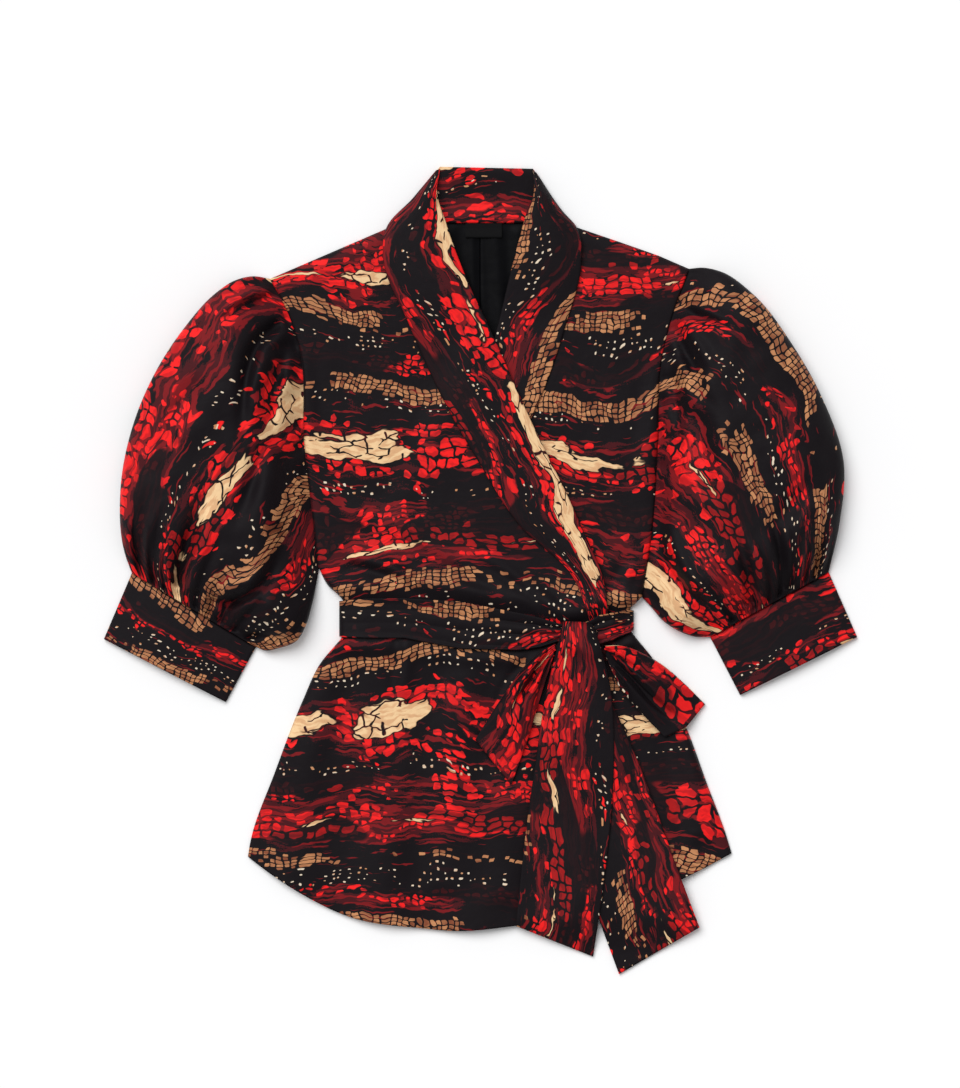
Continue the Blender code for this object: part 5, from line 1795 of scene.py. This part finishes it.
@dataclass(frozen=True)
class PrintCloth:
    """Printed plain-woven cloth: near-black ground with bands of red, maroon, tan and cream marks.

    Bands are rows of a place down the repeat and a density. Edges are where a level turns into paint.
    """

    ground: tuple = (0.0050, 0.0031, 0.0046, 1)
    maroon: tuple = (0.070, 0.0055, 0.0085, 1)
    crimson: tuple = (0.24, 0.008, 0.011, 1)
    red: tuple = (0.96, 0.014, 0.014, 1)
    dark_red: tuple = (0.40, 0.007, 0.010, 1)
    brown: tuple = (0.22, 0.062, 0.028, 1)
    tan: tuple = (0.58, 0.26, 0.115, 1)
    cream: tuple = (0.88, 0.60, 0.33, 1)
    pale: tuple = (0.80, 0.68, 0.52, 1)
    period: float = 0.27
    warps: Rows = ((5.5, 0.08, 0.075), (26.0, 0.016, 0.012), (95.0, 0.0050, 0.0042))
    stones: Dabs = Dabs(
        (0.0130, 0.0080), 0.085, 0.6, 3.0, patchy=0.95,
        bands=(
            (0.0, 0.0), (0.19, 0.0), (0.21, 0.74), (0.29, 0.74), (0.32, 0.12), (0.52, 0.0), (0.54, 0.7),
            (0.67, 0.7), (0.70, 0.0), (1.0, 0.0),
        ),
    )
    pebbles: Dabs = Dabs(
        (0.0085, 0.0058), 0.12, 0.7, 17.0, patchy=0.9,
        bands=(
            (0.0, 0.0), (0.16, 0.0), (0.18, 0.3), (0.30, 0.2), (0.40, 0.5), (0.44, 0.0), (0.50, 0.2),
            (0.70, 0.2), (0.72, 0.0), (0.88, 0.0), (0.91, 0.5), (0.96, 0.4), (0.98, 0.0),
        ),
    )
    bricks: Dabs = Dabs(
        (0.0066, 0.0043), 0.085, 0.26, 23.0, patchy=0.98, patch=(10.0, 24.0),
        bands=(
            (0.0, 0.0), (0.06, 0.0), (0.075, 0.70), (0.135, 0.65), (0.15, 0.0), (0.79, 0.0), (0.80, 0.6),
            (0.845, 0.8), (0.855, 0.0), (1.0, 0.0),
        ),
    )
    dots: Dabs = Dabs(
        (0.0075, 0.0062), 0.10, 0.45, 37.0, patchy=0.7, patch=(18.0, 30.0), round=True,
        bands=(
            (0.0, 0.55), (0.045, 0.4), (0.055, 0.0), (0.455, 0.0), (0.46, 0.7), (0.49, 0.5), (0.50, 0.0),
            (0.745, 0.0), (0.75, 0.55), (0.785, 0.5), (0.79, 0.0), (0.97, 0.0), (0.98, 0.6), (1.0, 0.6),
        ),
    )
    wash_bands: Rows = (
        (0.0, 0.0), (0.10, 0.1), (0.20, 0.7), (0.42, 0.8), (0.46, 0.0), (0.52, 0.4), (0.68, 0.6),
        (0.72, 0.0), (0.86, 0.0), (0.90, 0.8), (0.96, 0.5), (0.98, 0.0), (1.0, 0.0),
    )
    wash_banded: float = 0.42
    wash_patches: Grain = Grain((9, 26), (3, 7), 2.0)
    wash_patchy: float = 0.55
    wash_strokes: Grain = Grain((24, 150), (0, 0), 4.0)
    wash_speckle: float = 0.22
    wash_rarer: float = 0.25
    wash_edge: Span = (0.50, 0.58)
    wash_cover: float = 0.9
    line_strokes: Grain = Grain((30, 260), (9, 4), 2.0)
    line_amount: float = 0.5
    line_rarer: float = 0.16
    line_edge: Span = (0.52, 0.57)
    line_cover: float = 0.8
    speckle_scale: float = 700.0
    streak_bands: Rows = (
        (0.0, 0.0), (0.22, 0.0), (0.25, 0.75), (0.28, 0.0), (0.54, 0.0), (0.58, 0.85), (0.61, 1.0),
        (0.65, 0.85), (0.69, 0.0), (1.0, 0.0),
    )
    streak_banded: float = 0.42
    streak_body: Grain = Grain((11, 45), (31, 17), 3.0)
    streak_rarer: float = 0.48
    streak_places: Grain = Grain((9, 14), (51, 3))
    streak_places_edge: Span = (0.39, 0.54)
    streak_placed: float = 0.18
    streak_edge: Span = (0.50, 0.52)
    streak_beside: Span = (0.46, 0.48)
    streak_cell: Span = (0.021, 0.0075)
    streak_seed: float = 5.0
    streak_uncut: Grain = Grain((25, 70), (2, 9))
    streak_uncut_edge: Span = (0.48, 0.62)
    streak_uncut_by: float = 0.5
    streak_line: Span = (0.05, 0.09)
    beside_cover: float = 0.95
    drag: Grain = Grain((60, 260), (1, 2), 2.0)
    drag_edge: Span = (0.42, 0.62)
    red_shade: tuple[float, float, float] = (0.55, 0.6, 0.1)
    brown_shade: tuple[float, float, float] = (0.85, 0.4, 0.1)
    pebble_shade: Span = (0.5, 0.6)
    cream_shade: float = 0.55
    bare: Grain = Grain((6.5, 17), (4, 11))
    bare_edge: Span = (0.555, 0.575)
    bare_cover: float = 0.96
    bare_stones: float = 0.6
    worn_scale: float = 260.0
    worn_cover: float = 0.14
    matt: float = 0.64
    matt_painted: float = 0.06
    matt_worn: float = 0.06
    yarn: float = 0.0008
    soft_scale: float = 55.0

    def band(self, shader: Shader, at: Sock, bands: Rows) -> Sock:
        """Density of a layer over the height of one repeat."""
        height = (shader.parts(at)[1] * (1 / self.period)).fraction()
        return shader.node("ShaderNodeValToRGB", {"stops": bands}, {0: height})[0]

    def brushed(self, shader: Shader, flat: Sock, at: Sock) -> Sock:
        """Ground with washes of maroon and thinner strokes of crimson, dragged along the bands.

        Args:
            shader: The print's shader.
            flat: Place on the cloth, in metres.
            at: The same place, already wavy.

        Returns:
            The colour below the marks.
        """
        patches = self.wash_patchy * (self.wash_patches.build(shader, at) - 0.5)
        amount = self.wash_banded * self.band(shader, at, self.wash_bands) + patches
        speckle = self.wash_speckle * (shader.noise(flat, self.speckle_scale, 1.0)[0] - 0.5)
        wash = self.wash_strokes.build(shader, at) + amount - self.wash_rarer + speckle
        line = self.line_strokes.build(shader, at) + self.line_amount * amount - self.line_rarer
        colour = shader.mixed(self.wash_cover * wash.graded(*self.wash_edge), self.ground, self.maroon)
        return shader.mixed(self.line_cover * line.graded(*self.line_edge), colour, self.crimson)

    def streaks(self, shader: Shader, at: Sock) -> tuple[Sock, Sock]:
        """Ragged streaks of cream here and there in their band, parted by crooked lines of the ground.

        Args:
            shader: The print's shader.
            at: Place on the cloth, in metres, already wavy.

        Returns:
            Where the streaks are, and where they and the ground beside them are.
        """
        places = self.streak_places.build(shader, at).graded(*self.streak_places_edge)
        banded = self.streak_banded * self.band(shader, at, self.streak_bands)
        level = self.streak_body.build(shader, at) + banded - self.streak_rarer + self.streak_placed * places
        across, down = self.streak_cell
        scaled = shader.moved(at, (1 / across, 1 / down, 0), (self.streak_seed, self.streak_seed, 0))
        inputs = {"Vector": scaled, "Scale": 1.0, "Randomness": 1.0}
        settings = {"voronoi_dimensions": "2D", "feature": "DISTANCE_TO_EDGE"}
        edge = shader.node("ShaderNodeTexVoronoi", settings, inputs)[0]
        uncut = self.streak_uncut.build(shader, at).graded(*self.streak_uncut_edge)
        whole = (edge + self.streak_uncut_by * uncut).graded(*self.streak_line)
        return level.graded(*self.streak_edge) * whole, level.graded(*self.streak_beside)

    def build(self) -> bpy.types.Material:
        """The material, on the cloth's own map.

        Returns:
            The material.
        """
        shader = Shader("print_cloth")
        flat = shader.cloth_map()
        places = [flat]
        for scale, across, down in self.warps:
            wander = shader.noise(flat, scale, 1.0)[1]
            places.append(shader.moved(wander, (across, down, 0), places[-1]))
        drawn, at = places[-2:]
        marks = (self.stones, self.pebbles, self.bricks, self.dots)
        stones, pebbles, bricks, dots = (mark.build(shader, at, self.period) for mark in marks)
        drag = self.drag.build(shader, at).graded(*self.drag_edge)

        def shade(lot: Sock, weights: tuple[float, float, float]) -> Sock:
            """Share of a mark's second colour: by its own random number and by the dragged brush."""
            return weights[0] * lot + weights[1] * drag - weights[2]

        reds = shader.mixed(shade(stones[1], self.red_shade), self.red, self.dark_red)
        dragged = (self.pebble_shade[0] + self.pebble_shade[1] * pebbles[1]) * drag
        small_reds = shader.mixed(dragged, self.red, self.crimson)
        browns = shader.mixed(shade(bricks[1], self.brown_shade), self.tan, self.brown)
        streaks, beside = self.streaks(shader, at)
        creams = shader.mixed(self.cream_shade * drag, self.cream, self.tan)
        bare = self.bare.build(shader, drawn).graded(*self.bare_edge)
        worn = shader.noise(flat, self.worn_scale, 2.0)[0]
        colour = self.brushed(shader, flat, at)
        for cover, paint in (
            (pebbles[0], small_reds),
            (self.bare_cover * bare, self.ground),
            (stones[0] * (1 - self.bare_stones * bare), reds),
            (bricks[0], browns),
            (self.beside_cover * beside, self.ground),
            (streaks, creams),
            (dots[0], shader.mixed(drag, self.pale, self.tan)),
            (self.worn_cover * worn, self.ground),
        ):
            colour = shader.mixed(cover, colour, paint)
        shader.varying("Base Color", colour)
        painted = stones[0].larger(pebbles[0]).larger(bricks[0]).larger(streaks)
        matt = self.matt - self.matt_painted * painted + self.matt_worn * (worn - 0.5)
        shader.varying("Roughness", matt)
        self.weave(shader, flat)
        shader.constants(metallic=0.0, specular_ior_level=0.12, sheen_weight=0.02, sheen_roughness=0.4)
        return shader.material

    def weave(self, shader: Shader, flat: Sock) -> None:
        """Relief of the cloth: a fine twill of two crossing sines, and soft pressed-in unevenness."""
        x, y, _ = shader.parts(flat)
        turns = 2 * np.pi / self.yarn
        twill = ((x + y) * turns).sine() + 0.5 * ((x - y) * (turns * 0.5)).sine()
        below = shader.bump(shader.noise(flat, self.soft_scale, 2.0)[0], distance=0.0011, strength=0.55)
        shader.varying("Normal", shader.bump(twill, distance=0.00005, strength=0.35, below=below))


@dataclass(frozen=True)
class LiningSatin:
    """Black lining with a close satin weave: low and even gloss, faint lengthwise ribs."""

    colour: tuple = (0.0016, 0.0016, 0.0022, 1)
    worn_colour: tuple = (0.0030, 0.0030, 0.0038, 1)
    worn_scale: float = 45.0
    matt: float = 0.44
    matt_varies: float = 0.1
    rib: float = 0.0006

    def build(self) -> bpy.types.Material:
        """The material, on the cloth's own map."""
        shader = Shader("lining")
        flat = shader.cloth_map()
        worn = shader.noise(flat, self.worn_scale, 2.0)[0]
        shader.varying("Base Color", shader.mixed(worn, self.colour, self.worn_colour))
        shader.varying("Roughness", self.matt + self.matt_varies * (worn - 0.5))
        ribs = (shader.parts(flat)[0] * (2 * np.pi / self.rib)).sine()
        below = shader.bump(worn, distance=0.0012, strength=0.5)
        shader.varying("Normal", shader.bump(ribs, distance=0.00003, strength=0.3, below=below))
        shader.constants(metallic=0.0, specular_ior_level=0.05)
        return shader.material


@dataclass(frozen=True)
class LabelTape:
    """Plain black woven tape: fine cross ribs and a rough surface."""

    colour: tuple = (0.0040, 0.0040, 0.0044, 1)
    fuzzy_colour: tuple = (0.0070, 0.0068, 0.0072, 1)
    fuzz_scale: float = 700.0
    matt: float = 0.72
    matt_varies: float = 0.1
    rib: float = 0.0009
    warp_rib: float = 0.6

    def build(self) -> bpy.types.Material:
        """The material, on the tape's own map."""
        shader = Shader("label")
        flat = shader.cloth_map()
        x, y, _ = shader.parts(flat)
        turns = 2 * np.pi / self.rib
        ribs = (y * turns).sine() + self.warp_rib * (x * turns).sine()
        fuzz = shader.noise(flat, self.fuzz_scale, 1.0)[0]
        shader.varying("Base Color", shader.mixed(fuzz, self.colour, self.fuzzy_colour))
        shader.varying("Roughness", self.matt + self.matt_varies * (fuzz - 0.5))
        shader.varying("Normal", shader.bump(ribs, distance=0.00008, strength=0.5))
        shader.constants(metallic=0.0, specular_ior_level=0.06)
        return shader.material


@dataclass(frozen=True)
class Studio:
    """Pale floor, soft light from above and the camera straight over the top."""

    camera_height: float = 6.0
    image_centre: Span = (-0.0005, 0.0265)
    view_length: float = 1.088
    sensor: float = 36.0
    floor_half: float = 12.0
    floor_colour: tuple = (0.915, 0.915, 0.92, 1)
    sky_strength: float = 0.48
    key_strength: float = 2.45
    key_angle: float = 0.8
    key_turn: tuple[float, float, float] = (-0.52, -0.40, 0.0)
    farthest: float = 50.0

    def build(self) -> None:
        """Floor, lights and camera, none of them part of the object."""
        scene = bpy.context.scene
        scene.view_settings.view_transform = "Standard"
        mesh = bpy.data.meshes.new("floor")
        half = self.floor_half
        corners = [(x * half, y * half, 0) for x, y in ((-1, -1), (1, -1), (1, 1), (-1, 1))]
        mesh.from_pydata(corners, [], [(0, 1, 2, 3)])
        shader = Shader("floor")
        shader.constants(base_color=self.floor_colour, roughness=0.9, specular_ior_level=0.1)
        mesh.materials.append(shader.material)
        floor = bpy.data.objects.new("floor", mesh)
        scene.collection.objects.link(floor)
        world = bpy.data.worlds.new("studio")
        world.use_nodes = True
        background = world.node_tree.nodes["Background"]
        background.inputs["Color"].default_value = (1.0, 1.0, 1.0, 1)
        background.inputs["Strength"].default_value = self.sky_strength
        scene.world = world
        sun = bpy.data.lights.new("key", "SUN")
        sun.energy = self.key_strength
        sun.angle = self.key_angle
        key = bpy.data.objects.new("key", sun)
        key.rotation_euler = self.key_turn
        scene.collection.objects.link(key)
        lens = bpy.data.cameras.new("camera")
        lens.sensor_width = self.sensor
        lens.lens = self.sensor * self.camera_height / self.view_length
        lens.clip_end = self.farthest
        camera = bpy.data.objects.new("camera", lens)
        camera.location = (*self.image_centre, self.camera_height)
        scene.collection.objects.link(camera)
        scene.camera = camera


def main() -> None:
    """Builds the studio and every sub-assembly in order, and reports each piece."""
    logging.basicConfig(level=logging.INFO, format="%(name)s %(message)s")
    Studio().build()
    finishes = Finishes(PrintCloth().build(), LiningSatin().build(), LabelTape().build())
    parts = [
        Bodice(finishes),
        Peplum(finishes),
        Collar(finishes),
        sleeve_of(Side.RIGHT, finishes),
        sleeve_of(Side.LEFT, finishes),
        Tie(finishes),
    ]
    for part in parts:
        made = part.build()
        LOG.info("%s: %s", type(part).__name__, ", ".join(piece.name for piece in made))


if __name__ == "__main__":
    main()
